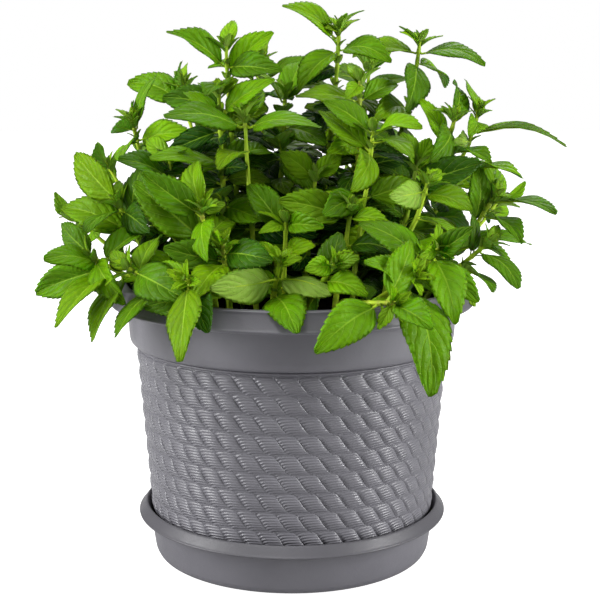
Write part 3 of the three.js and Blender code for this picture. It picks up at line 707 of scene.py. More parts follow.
@dataclass(frozen=True)
class LeafFinish(Finish):
    """Mint leaf: pale midrib and side veins, a puckered blade with painted shade in the hollows along the
    veins, and a paler underside.
    """

    deep: Colour = paint(14, 52, 4)
    middle: Colour = paint(56, 110, 3)
    bright: Colour = paint(116, 164, 2)
    young: Colour = paint(136, 178, 26)
    warm: Colour = paint(122, 154, 6)
    # Painted shade for the hollows along the veins
    hollow: Colour = paint(30, 78, 2)
    vein: Colour = paint(154, 190, 52)
    underside: Colour = paint(126, 160, 58)
    under_vein: Colour = paint(174, 200, 108)
    gloss: tuple[float, float] = (0.32, 0.5)
    bump_depth: float = 0.0007

    def veins(self, bench: Bench, across: object, along: object) -> tuple[object, object]:
        """Return the vein mask, 1 on the midrib and the side veins, and the pillows between the veins.

        Args:
            bench: The material's bench.
            across: The place across the blade, from -1 to 1.
            along: The place along it, from 0 to 1.

        Returns:
            The mask and the pillows.
        """
        aside = bench.math("ABSOLUTE", across)
        half = bench.math("GREATER_THAN", across, 0.0)
        start = bench.times(half, VEIN_STAGGER)
        forward = bench.times(bench.power(aside, VEIN_CURVE), VEIN_LEAN)
        run = bench.minus(along, forward)
        phase = bench.times_plus(run, VEIN_PAIRS, start)
        stray = bench.noise(bench.place(), 90.0, 2.0)
        phase = bench.times_plus(stray, 0.5, phase)
        near = bench.math("PINGPONG", phase, 0.5)
        side = bench.ease(near, 0.0, 0.06, 1.0, 0.0)
        side = bench.times(side, bench.ease(aside, 0.45, 1.0, 0.8, 0.1))
        rib_width = bench.ease(along, 0.0, 1.0, 0.07, 0.03)
        rib = bench.ease(bench.math("DIVIDE", aside, rib_width), 0.35, 1.0, 1.0, 0.0)
        pillow = bench.power(bench.times(near, 2.0), 0.6)
        pillow = bench.times(pillow, bench.ease(aside, 0.02, 0.3))
        pillow = bench.times(pillow, bench.ease(aside, 0.75, 1.0, 1.0, 0.25))
        return bench.math("MAXIMUM", side, rib), pillow

    def make(self, effects: SharedEffects) -> bpy.types.Material:
        """Build the material.

        Args:
            effects: The shared shader groups.

        Returns:
            The material.
        """
        material, bench, shader = self.start()
        across, along, under = bench.attribute("leaf_place")
        tone, youth, lot = bench.attribute("leaf_look")
        # The tone lightens the leaf; it is partly painted light and shade, higher and outer leaves lighter
        # and inner ones darker
        shift = bench.times_plus(tone, 0.5, -0.25)
        dark = self.group(bench, effects.mottle, {"Darker": self.deep, "Lighter": self.middle,
                                                  "Scale": 55.0, "Shift": shift})
        bright = bench.mix(tone, dark.outputs[0], self.bright)
        young = bench.mix(bench.times(youth, 0.7), bright, self.young)
        warm = bench.mix(bench.ease(lot, 0.6, 1.0, 0.0, 0.4), young, self.warm)
        mask, pillow = self.veins(bench, across, along)
        # Painted shade: the blade is darkened in the hollows along the veins, between the pillows
        shaded = bench.mix(bench.times(bench.minus(1.0, pillow), 0.16), warm, self.hollow)
        veined = bench.mix(bench.times(mask, 0.42), shaded, self.vein)
        below = bench.mix(bench.times(mask, 0.5), self.underside, self.under_vein)
        bench.feed(shader.inputs["Base Color"], bench.mix(under, veined, below))
        grain = self.group(bench, effects.grain, {"Scale": 1100.0, "Coarse Share": 1.4})
        groove = bench.times(mask, -0.25)
        height = bench.plus(groove, bench.times(grain.outputs["Height"], 0.34))
        pucker = bench.noise(bench.place(), 430.0, 2.0, 0.4)
        lumps = bench.times_plus(pucker, 0.9, pillow)
        soft = bench.times(lumps, bench.times_plus(youth, -0.6, 1.0))
        self.bump(bench, shader, bench.plus(height, soft), self.bump_depth)
        gloss = bench.noise(bench.place(), 300.0, 2.0)
        bench.feed(shader.inputs["Roughness"], bench.ease(gloss, 0.3, 0.7, *self.gloss))
        self.settle(shader, {"Specular IOR Level": 0.085, "Subsurface Weight": 0.12,
                             "Subsurface Radius": (0.35, 1.0, 0.12), "Subsurface Scale": 0.0022})
        return material


@dataclass(frozen=True)
class StemFinish(Finish):
    """Mint stem: yellow-green, darker below, with a purple blush at the upper nodes."""

    darker: Colour = paint(126, 164, 22)
    lighter: Colour = paint(172, 200, 44)
    old: Colour = paint(124, 134, 50)
    blush: Colour = paint(112, 66, 60)
    bump_depth: float = 0.00012

    def make(self, effects: SharedEffects) -> bpy.types.Material:
        """Build the material.

        Args:
            effects: The shared shader groups.

        Returns:
            The material.
        """
        material, bench, shader = self.start()
        age, blush, lot = bench.attribute("leaf_look")
        mottle = self.group(bench, effects.mottle, {"Darker": self.darker, "Lighter": self.lighter,
                                                    "Scale": 70.0})
        old = bench.mix(bench.ease(age, 0.6, 1.0, 0.0, 0.3), mottle.outputs[0], self.old)
        share = bench.times(blush, bench.ease(lot, 0.55, 1.0, 0.0, 0.5))
        bench.feed(shader.inputs["Base Color"], bench.mix(share, old, self.blush))
        grain = self.group(bench, effects.grain, {"Scale": 1200.0, "Coarse Share": 1.0})
        self.bump(bench, shader, grain.outputs["Height"], self.bump_depth)
        self.settle(shader, {"Roughness": 0.48, "Specular IOR Level": 0.2, "Subsurface Weight": 0.1,
                             "Subsurface Radius": (0.5, 1.0, 0.2), "Subsurface Scale": 0.0015})
        return material


@dataclass(frozen=True)
class FloorFinish(Finish):
    """The plain pale floor."""

    darker: Colour = paint(182, 182, 182)
    lighter: Colour = paint(186, 186, 186)

    def make(self, effects: SharedEffects) -> bpy.types.Material:
        """Build the material.

        Args:
            effects: The shared shader groups.

        Returns:
            The material.
        """
        material, bench, shader = self.start()
        mottle = self.group(bench, effects.mottle, {"Darker": self.darker, "Lighter": self.lighter,
                                                    "Scale": 2.0})
        bench.feed(shader.inputs["Base Color"], mottle.outputs[0])
        self.settle(shader, {"Roughness": 0.9, "Specular IOR Level": 0.1, "Emission Strength": 1.0})
        seen = bench.node("ShaderNodeLightPath").outputs["Is Camera Ray"]
        bench.feed(shader.inputs["Emission Color"], bench.mix(seen, paint(0, 0, 0), paint(255, 255, 255)))
        return material


# Meshes


class Shell:
    """Points and faces in millimetres, with attributes, that gather into one mesh."""

    def __init__(self) -> None:
        """Start with nothing in the shell."""
        self.points: list[np.ndarray] = []
        self.faces: list[list[int]] = []
        self.kinds: list[int] = []
        self.looks: dict[str, list[np.ndarray]] = {}
        self.count = 0

    def add(self, points: np.ndarray, faces: list, kind: int = 0, **looks: np.ndarray) -> None:
        """Add a body.

        Args:
            points: Its points, one row each.
            faces: Its faces, as lists of the numbers of its own points.
            kind: The place of its material.
            looks: Vector attributes of its points, by name.
        """
        self.points.append(points)
        self.faces.extend([[i + self.count for i in face] for face in faces])
        self.kinds.extend([kind] * len(faces))
        for name, values in looks.items():
            self.looks.setdefault(name, []).append(values)
        self.count += len(points)

    def add_mesh(self, mesh: bpy.types.Mesh, kind: int, names: tuple[str, ...]) -> None:
        """Add a Blender mesh in metres, with its named vector attributes.

        Args:
            mesh: The mesh.
            kind: The place of its material.
            names: Its attributes to keep.
        """
        points = np.empty(len(mesh.vertices) * 3, np.float32)
        mesh.vertices.foreach_get("co", points)
        looks = {}
        for name in names:
            values = np.zeros(len(mesh.vertices) * 3, np.float32)
            mesh.attributes[name].data.foreach_get("vector", values)
            looks[name] = values.reshape(-1, 3)
        faces = [list(polygon.vertices) for polygon in mesh.polygons]
        self.add(points.reshape(-1, 3) / METRES, faces, kind, **looks)

    def build(self, name: str, materials: list[bpy.types.Material]) -> bpy.types.Object:
        """Make the object.

        Args:
            name: The object's name.
            materials: Its materials, by kind.

        Returns:
            The object, linked to the scene.
        """
        mesh = bpy.data.meshes.new(name)
        mesh.from_pydata((np.concatenate(self.points) * METRES).tolist(), [], self.faces)
        for label, parts in self.looks.items():
            set_vectors(mesh, label, np.concatenate(parts))
        for material in materials:
            mesh.materials.append(material)
        mesh.polygons.foreach_set("material_index", np.array(self.kinds, np.int32))
        mesh.shade_smooth()
        mesh.update()
        made = bpy.data.objects.new(name, mesh)
        bpy.context.scene.collection.objects.link(made)
        return made


def finished(made: bpy.types.Object) -> bpy.types.Object:
    """Turn an object's modifiers into its plain mesh and remove them.

    Args:
        made: The object.

    Returns:
        The same object.
    """
    bpy.context.view_layer.update()
    graph = bpy.context.evaluated_depsgraph_get()
    evaluated = made.evaluated_get(graph)
    mesh = bpy.data.meshes.new_from_object(evaluated, preserve_all_data_layers=True, depsgraph=graph)
    made.modifiers.clear()
    made.data = mesh
    return made


def with_tree(made: bpy.types.Object, tree: bpy.types.NodeTree, values: dict) -> bpy.types.Object:
    """Run a Geometry Nodes tree on an object with its inputs by name, and keep the plain mesh.

    Args:
        made: The object.
        tree: The tree.
        values: Its inputs by name.

    Returns:
        The same object.
    """
    modifier = made.modifiers.new(tree.name, "NODES")
    modifier.node_group = tree
    for item in tree.interface.items_tree:
        if item.item_type == "SOCKET" and item.in_out == "INPUT" and item.name in values:
            modifier[item.identifier] = values[item.name]
    return finished(made)


class TreeKind(Enum):
    """The Geometry Nodes trees that this plant uses."""

    TUBE = "tube_along_path"
    ROPE = "rope_relief"
    CRUMBS = "soil_crumbs"


class GrowthTrees:
    """The Geometry Nodes trees, each built once."""

    def __init__(self) -> None:
        """Build all the trees."""
        self.trees = {TreeKind.TUBE: self.make_tube(), TreeKind.ROPE: self.make_rope(),
                      TreeKind.CRUMBS: self.make_crumbs()}

    @staticmethod
    def open_tree(kind: TreeKind, inputs: list[tuple]) -> tuple[Bench, dict]:
        """Open a tree with a geometry in and out and named inputs.

        Args:
            kind: Which tree.
            inputs: Each input as (name, socket type, default value or None).

        Returns:
            The bench, and the tree's inputs by name.
        """
        tree = bpy.data.node_groups.new(kind.value, "GeometryNodeTree")
        tree.interface.new_socket("Geometry", in_out="INPUT", socket_type="NodeSocketGeometry")
        tree.interface.new_socket("Geometry", in_out="OUTPUT", socket_type="NodeSocketGeometry")
        for label, socket, value in [*inputs, ("Material", "NodeSocketMaterial", None)]:
            made = tree.interface.new_socket(label, in_out="INPUT", socket_type=socket)
            if value is not None:
                made.default_value = value
        bench = Bench(tree)
        return bench, {s.name: s for s in bench.node("NodeGroupInput").outputs if s.name}

    @staticmethod
    def close_tree(bench: Bench, geometry: object, given: dict) -> bpy.types.NodeTree:
        """End a tree in Realize Instances and Set Material, and return it.

        Args:
            bench: The tree's bench.
            geometry: What the tree has made.
            given: The tree's inputs.

        Returns:
            The tree.
        """
        real = bench.node("GeometryNodeRealizeInstances", {"Geometry": geometry})
        dressed = bench.node("GeometryNodeSetMaterial", {"Geometry": real.outputs[0],
                                                         "Material": given["Material"]})
        bench.node("NodeGroupOutput", {"Geometry": dressed.outputs[0]})
        return bench.tree

    def make_tube(self) -> bpy.types.NodeTree:
        """Build the tree that runs a rounded square section along each wire, at the wire's own radius.

        Returns:
            The tree.
        """
        bench, given = self.open_tree(TreeKind.TUBE, [("Sides", "NodeSocketInt", 12),
                                                      ("Squareness", "NodeSocketFloat", 0.08)])
        wire = bench.node("GeometryNodeMeshToCurve", {"Mesh": given["Geometry"]})
        ring = bench.node("GeometryNodeCurvePrimitiveCircle", {"Resolution": given["Sides"], "Radius": 1.0})
        place = bench.node("GeometryNodeInputPosition").outputs[0]
        index = bench.node("GeometryNodeInputIndex").outputs[0]
        angle = bench.math("DIVIDE", bench.times(index, 4 * FULL_TURN), given["Sides"])
        corner = bench.times(bench.math("COSINE", angle), given["Squareness"])
        out = bench.node("ShaderNodeVectorMath", {0: place, "Scale": corner}, operation="SCALE")
        section = bench.node("GeometryNodeSetPosition", {"Geometry": ring.outputs[0],
                                                         "Offset": out.outputs[0]})
        tube = bench.node("GeometryNodeCurveToMesh", {
            "Curve": wire.outputs[0], "Profile Curve": section.outputs[0],
            "Scale": bench.named("tube_radius"), "Fill Caps": True})
        return self.close_tree(bench, tube.outputs[0], given)

    def make_rope(self) -> bpy.types.NodeTree:
        """Build the tree that raises the ropes: a swell for each row, grooves between strands, and cords.

        Returns:
            The tree.
        """
        bench, given = self.open_tree(TreeKind.ROPE, [
            ("Ground", "NodeSocketFloat", 0.001), ("Swell", "NodeSocketFloat", 0.001),
            ("Cord Depth", "NodeSocketFloat", 0.0002), ("Cords", "NodeSocketFloat", CORDS),
            ("Groove", "NodeSocketFloat", 0.0012)])
        across, rise, mask = (bench.named(name) for name in ("strand_across", "row_rise", "relief"))
        arch = bench.math("MAXIMUM", bench.math("SINE", bench.times(rise, math.pi)), 0.0)
        slope = bench.times(bench.ease(across, 0.0, 0.5, 0.5, 1.0), bench.ease(across, 0.0, 0.02))
        crown = bench.times(slope, bench.ease(across, 0.92, 0.985, 1.0, 0.4))
        deep = bench.times(bench.ease(rise, 0.02, 0.5, 0.5, 1.0), arch)
        hollow = bench.times(bench.minus(1.0, crown), deep)
        curl = bench.power(bench.minus(1.0, across), 4.0)
        turn = bench.times(bench.times_plus(rise, given["Cords"], curl), FULL_TURN)
        cord = bench.times(bench.math("COSINE", turn), bench.times(crown, arch))
        height = bench.times_plus(arch, given["Swell"], given["Ground"])
        height = bench.times_plus(cord, given["Cord Depth"], height)
        height = bench.minus(height, bench.times(hollow, given["Groove"]))
        lift = bench.times(height, mask)
        outward = bench.named("outward", "FLOAT_VECTOR")
        offset = bench.node("ShaderNodeVectorMath", {0: outward, "Scale": lift}, operation="SCALE")
        moved = bench.node("GeometryNodeSetPosition", {"Geometry": given["Geometry"],
                                                       "Offset": offset.outputs[0]})
        return self.close_tree(bench, moved.outputs[0], given)

    def make_crumbs(self) -> bpy.types.NodeTree:
        """Build the tree that strews crumbs of many shapes over the loose part of the soil.

        Returns:
            The tree.
        """
        bench, given = self.open_tree(TreeKind.CRUMBS, [
            ("Density", "NodeSocketFloat", 60000.0), ("Smallest", "NodeSocketFloat", 0.0006),
            ("Largest", "NodeSocketFloat", 0.0026), ("Seed", "NodeSocketInt", 0)])
        strewn = bench.node("GeometryNodeDistributePointsOnFaces", {
            "Mesh": given["Geometry"], "Selection": bench.named("loose"), "Density": given["Density"],
            "Seed": given["Seed"]})
        crumb = bench.node("GeometryNodeMeshIcoSphere", {"Radius": 1.0, "Subdivisions": 1})
        spin = bench.node("FunctionNodeRandomValue", {"Min": (0, 0, 0), "Max": (6.28, 6.28, 6.28),
                                                      "Seed": given["Seed"]}, data_type="FLOAT_VECTOR")
        grade = bench.node("FunctionNodeRandomValue", {"Seed": bench.plus(given["Seed"], 1)},
                           data_type="FLOAT")
        share = bench.power(grade.outputs[1], 2.5)
        span = bench.minus(given["Largest"], given["Smallest"])
        size = bench.times_plus(share, span, given["Smallest"])
        shape = bench.node("FunctionNodeRandomValue", {"Min": (0.5, 0.6, 0.35), "Max": (1.5, 1.1, 1.0),
                                                       "Seed": bench.plus(given["Seed"], 2)},
                           data_type="FLOAT_VECTOR")
        scale = bench.node("ShaderNodeVectorMath", {0: shape.outputs[0], "Scale": size}, operation="SCALE")
        copies = bench.node("GeometryNodeInstanceOnPoints", {
            "Points": strewn.outputs[0], "Instance": crumb.outputs[0], "Rotation": spin.outputs[0],
            "Scale": scale.outputs[0]})
        joined = bench.node("GeometryNodeJoinGeometry")
        for geometry in (given["Geometry"], copies.outputs[0]):
            bench.tree.links.new(geometry, joined.inputs[0])
        return self.close_tree(bench, joined.outputs[0], given)


def rounded(profile: list[tuple[float, float]], radius: float, steps: int = 4) -> list[tuple[float, float]]:
    """Round a profile's corners.

    Args:
        profile: Its corners as (radius, height).
        radius: How far from each corner the rounding starts.
        steps: How many points each rounding has, past its first.

    Returns:
        The profile with its inner corners rounded.
    """
    smooth = [profile[0]]
    for before, at, after in zip(profile, profile[1:], profile[2:]):
        p, q, r = (np.array(c, float) for c in (before, at, after))
        cut_in = min(radius, 0.45 * np.linalg.norm(p - q))
        cut_out = min(radius, 0.45 * np.linalg.norm(r - q))
        start, end = q + unit(p - q) * cut_in, q + unit(r - q) * cut_out
        for step in range(steps + 1):
            s = step / steps
            smooth.append(tuple((1 - s) ** 2 * start + 2 * s * (1 - s) * q + s * s * end))
    smooth.append(profile[-1])
    return smooth


def turned(rings: list[tuple[float, float]], angles: np.ndarray) -> tuple[np.ndarray, list]:
    """Turn rings about the axis and close both ends on it.

    Args:
        rings: The rings as (radius, height), outside from the bottom up and then inside downwards.
        angles: The angle of each column, one row for each ring.

    Returns:
        The points and the faces, which point outwards.
    """
    count = angles.shape[1]
    radius = np.array([r for r, _ in rings])[:, None]
    height = np.tile(np.array([float(z) for _, z in rings])[:, None], (1, count))
    points = np.stack([radius * np.cos(angles), radius * np.sin(angles), height], -1).reshape(-1, 3)
    low, high = (0.0, 0.0, rings[0][1]), (0.0, 0.0, rings[-1][1])
    points = np.concatenate([points, [low, high]])
    first = np.arange(count)
    after = (first + 1) % count
    faces = []
    for ring in range(len(rings) - 1):
        a, b = ring * count + first, ring * count + after
        faces.extend(np.stack([a, b, b + count, a + count], 1).tolist())
    last = (len(rings) - 1) * count
    centre = len(rings) * count
    faces.extend([[centre, int(j), int(i)] for i, j in zip(first, after)])
    faces.extend([[centre + 1, last + int(i), last + int(j)] for i, j in zip(first, after)])
    return points, faces


def set_floats(mesh: bpy.types.Mesh, name: str, values: np.ndarray) -> None:
    """Keep a value for each point under a name."""
    layer = mesh.attributes.new(name, "FLOAT", "POINT")
    layer.data.foreach_set("value", values.astype(np.float32))


def set_vectors(mesh: bpy.types.Mesh, name: str, rows: np.ndarray) -> None:
    """Keep a vector for each point under a name."""
    layer = mesh.attributes.new(name, "FLOAT_VECTOR", "POINT")
    layer.data.foreach_set("vector", rows.astype(np.float32).ravel())


@dataclass
class Planter:
    """The planter: the pot with its rope relief, and the saucer under it."""

    trees: GrowthTrees
    plastic: bpy.types.Material
    column_shares: tuple[float, ...] = (0.0, 0.02, 0.28, 0.62, 0.92, 0.985)
    rings_per_row: int = 28
    even_share: float = 0.6
    eased_share: float = 0.2
    ground: float = 0.8
    swell: float = 1.15
    cord_depth: float = 0.12
    cords: float = CORDS
    groove: float = 1.05
    saucer_columns: int = 192
    drain_columns: int = 24

    def rope_radius(self, z: float) -> float:
        """Return the radius of the rope's grooves at a height."""
        return lerp(ROPE_LOW_RADIUS, ROPE_HIGH_RADIUS, (z - ROPE_LOW) / (ROPE_HIGH - ROPE_LOW))

    def make_pot(self) -> bpy.types.Object:
        """Build the pot with its relief and its drain holes.

        Returns:
            The pot's object.
        """
        foot = rounded(POT_FOOT, FOOT_ROUNDING)[1:]
        even = np.linspace(0, 1, self.rings_per_row, endpoint=False)
        rises = self.even_share * even + self.eased_share * (1 - np.cos(math.pi * even))
        rope_rows = np.append((np.arange(ROPE_ROWS)[:, None] + rises[None, :]).ravel(), ROPE_ROWS)
        rope = [(self.rope_radius(z), z) for z in lerp(ROPE_LOW, ROPE_HIGH, rope_rows / ROPE_ROWS)]
        upper = rounded([rope[-1], *POT_UPPER], EDGE_ROUNDING, 2)[1:-1]
        rings = [*foot, *rope, *upper]
        shares = np.array(self.column_shares)
        columns = (np.arange(STRANDS)[:, None] + shares[None, :]).ravel()
        rows_up = np.zeros(len(rings))
        rows_up[len(foot):len(foot) + len(rope)] = rope_rows
        rows_up[len(foot) + len(rope):] = ROPE_ROWS
        slant = np.floor(rows_up) + np.arccos(1 - 2 * (rows_up % 1.0)) / math.pi
        angles = (columns[None, :] + 1 - slant[:, None]) * FULL_TURN / STRANDS
        points, faces = turned(rings, angles)
        shell = Shell()
        shell.add(points, faces)
        pot = shell.build("pot_body", [self.plastic])
        is_rope = (rows_up > 0) & (rows_up < ROPE_ROWS)
        edge = np.minimum(rows_up, ROPE_ROWS - rows_up) * is_rope
        relief = np.clip(edge * 9, 0, 1)
        rise = np.where(is_rope, rows_up % 1.0, 0.0)
        spread = np.ones(len(columns))
        poles = np.zeros(2)
        set_floats(pot.data, "relief", np.append(np.outer(relief, spread), poles))
        set_floats(pot.data, "row_rise", np.append(np.outer(rise, spread), poles))
        set_floats(pot.data, "strand_across", np.append(np.tile(shares, STRANDS * len(rings)), poles))
        outward = np.zeros((len(points), 3))
        outward[:-2, :2] = points[:-2, :2] / np.linalg.norm(points[:-2, :2], axis=1)[:, None]
        set_vectors(pot.data, "outward", outward)
        with_tree(pot, self.trees.trees[TreeKind.ROPE], {
            "Ground": self.ground * METRES, "Swell": self.swell * METRES, "Groove": self.groove * METRES,
            "Cord Depth": self.cord_depth * METRES, "Cords": self.cords, "Material": self.plastic})
        self.drill(pot)
        self.mark_wear(pot.data)
        return pot

    def mark_wear(self, mesh: bpy.types.Mesh) -> None:
        """Mark how far each point stands out of the plain wall, for the rubbed crowns of the relief, and
        where shade is painted on the rim's face.

        Args:
            mesh: The pot's finished mesh.
        """
        now = np.array([v.co for v in mesh.vertices]) / METRES
        radius = np.hypot(now[:, 0], now[:, 1])
        on_rope = (now[:, 2] > ROPE_LOW) & (now[:, 2] < ROPE_HIGH) & (radius > ROPE_LOW_RADIUS - 1)
        ground = np.interp(now[:, 2], [ROPE_LOW, ROPE_HIGH], [ROPE_LOW_RADIUS, ROPE_HIGH_RADIUS])
        share = np.clip((radius - ground) / (self.ground + self.swell), 0, 1) * on_rope
        # The rim's face gets painted shade, growing darker towards its top edge
        on_face = (now[:, 2] < POT_HEIGHT - 0.5) & (now[:, 2] > RIM_FACE_LOW) & (radius > RIM_FACE_RADIUS)
        painted_shade = np.clip((now[:, 2] - PAINTED_SHADE_LOW) / PAINTED_SHADE_RISE, 0, 1) * on_face
        set_vectors(mesh, "wear", np.column_stack([share, on_rope, painted_shade]))

    def drill(self, pot: bpy.types.Object) -> None:
        """Cut the drain holes through the pot's floor.

        Args:
            pot: The pot's object.
        """
        cutters = []
        for hole in range(DRAIN_HOLES):
            angle = FULL_TURN * (hole + 0.5) / DRAIN_HOLES
            ring = np.linspace(0, FULL_TURN, self.drain_columns, endpoint=False)
            points, faces = turned([(DRAIN_RADIUS, POT_BOTTOM - 4), (DRAIN_RADIUS, POT_FLOOR + 4)],
                                   np.tile(ring, (2, 1)))
            points[:, 0] += DRAIN_RING * math.cos(angle)
            points[:, 1] += DRAIN_RING * math.sin(angle)
            shell = Shell()
            shell.add(points, faces)
            cutter = shell.build("drain_cutter", [self.plastic])
            cut = pot.modifiers.new("drain", "BOOLEAN")
            cut.operation, cut.solver, cut.object = "DIFFERENCE", "MANIFOLD", cutter
            cutters.append(cutter)
        finished(pot)
        for cutter in cutters:
            bpy.data.objects.remove(cutter)

    def make_saucer(self) -> bpy.types.Object:
        """Build the saucer: a dish with a rounded foot and a flared lip with a ridge along it.

        Returns:
            The saucer's object.
        """
        rings = rounded(SAUCER, EDGE_ROUNDING)[1:-1]
        ring = np.linspace(0, FULL_TURN, self.saucer_columns, endpoint=False)
        points, faces = turned(rings, np.tile(ring, (len(rings), 1)))
        radius = np.hypot(points[:, 0], points[:, 1])
        wear = np.zeros((len(points), 3))
        # The saucer's lip gets painted shade
        wear[:, 2] = (points[:, 2] > LIP_LOW) & (radius > LIP_RADIUS)
        shell = Shell()
        shell.add(points, faces, wear=wear)
        return shell.build("saucer_body", [self.plastic])

    def build(self) -> None:
        """Build and place the planter's pieces."""
        for made, node in ((self.make_pot(), "pot"), (self.make_saucer(), "saucer")):
            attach(made, "root")
            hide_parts(node)
            LOG.info("%s has %d faces", made.name, len(made.data.polygons))


@dataclass
class Soil:
    """The potting soil: a closed body with a rough top, strewn with crumbs."""

    trees: GrowthTrees
    earth: bpy.types.Material
    columns: int = 120
    rings_on_top: int = 44
    crumb_density: float = 52000.0
    crumb_sizes: tuple[float, float] = (0.6, 3.4)
    crumb_seed: int = 5

    def height(self, x: float, y: float) -> float:
        """Return the soil's height at a place, with lumps and clods.

        Args:
            x: The place to the right of the axis.
            y: The place behind it.

        Returns:
            The height.
        """
        lumps = math.sin(x / 17 + 1) * math.cos(y / 14) + 0.6 * math.sin(x / 7 - y / 9)
        clods = noise.fractal(Vector((x / 9, y / 9, 3.1)), 0.9, 2.1, 4)
        return SOIL_TOP + 1.6 * lumps + 1.3 * clods

    def build(self) -> None:
        """Build and place the soil."""
        wall = [(r - CLEARANCE, z) for r, z in POT_INSIDE[:3]]
        wall[0] = (wall[0][0], POT_FLOOR + CLEARANCE)
        share = (SOIL_TOP - 2 - ROPE_HIGH) / (POT_INSIDE[3][1] - ROPE_HIGH)
        edge = lerp(POT_INSIDE[2][0], POT_INSIDE[3][0], share) - CLEARANCE
        top = [(edge * r, SOIL_TOP) for r in np.linspace(1, 0.02, self.rings_on_top)]
        rings = [*wall, (edge, SOIL_TOP - 2), *top]
        ring = np.linspace(0, FULL_TURN, self.columns, endpoint=False)
        points, faces = turned(rings, np.tile(ring, (len(rings), 1)))
        is_top = points[:, 2] >= SOIL_TOP - 1
        for i in np.nonzero(is_top)[0]:
            points[i, 2] = self.height(points[i, 0], points[i, 1])
        shell = Shell()
        shell.add(points, faces)
        soil = shell.build("soil_body", [self.earth])
        radius = np.hypot(points[:, 0], points[:, 1])
        set_floats(soil.data, "loose", (is_top & (radius < edge - 4)).astype(float))
        smallest, largest = self.crumb_sizes
        with_tree(soil, self.trees.trees[TreeKind.CRUMBS], {
            "Density": self.crumb_density, "Smallest": smallest * METRES, "Largest": largest * METRES,
            "Seed": self.crumb_seed, "Material": self.earth})
        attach(soil, "root")
        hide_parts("soil")
        LOG.info("%s has %d faces", soil.name, len(soil.data.polygons))


# The plant


class LeafDetail(Enum):
    """How finely a leaf is built, as (teeth on each side, rows a tooth, columns)."""

    LARGE = (12, 3, (0.0, 0.1, 0.42, 0.8, 1.0))
    MIDDLE = (8, 3, (0.0, 0.12, 0.5, 0.84, 1.0))
    INNER = (6, 2, (0.0, 0.14, 0.62, 1.0))
    SMALL = (5, 3, (0.0, 0.2, 0.7, 1.0))
    TINY = (3, 2, (0.0, 0.5, 1.0))


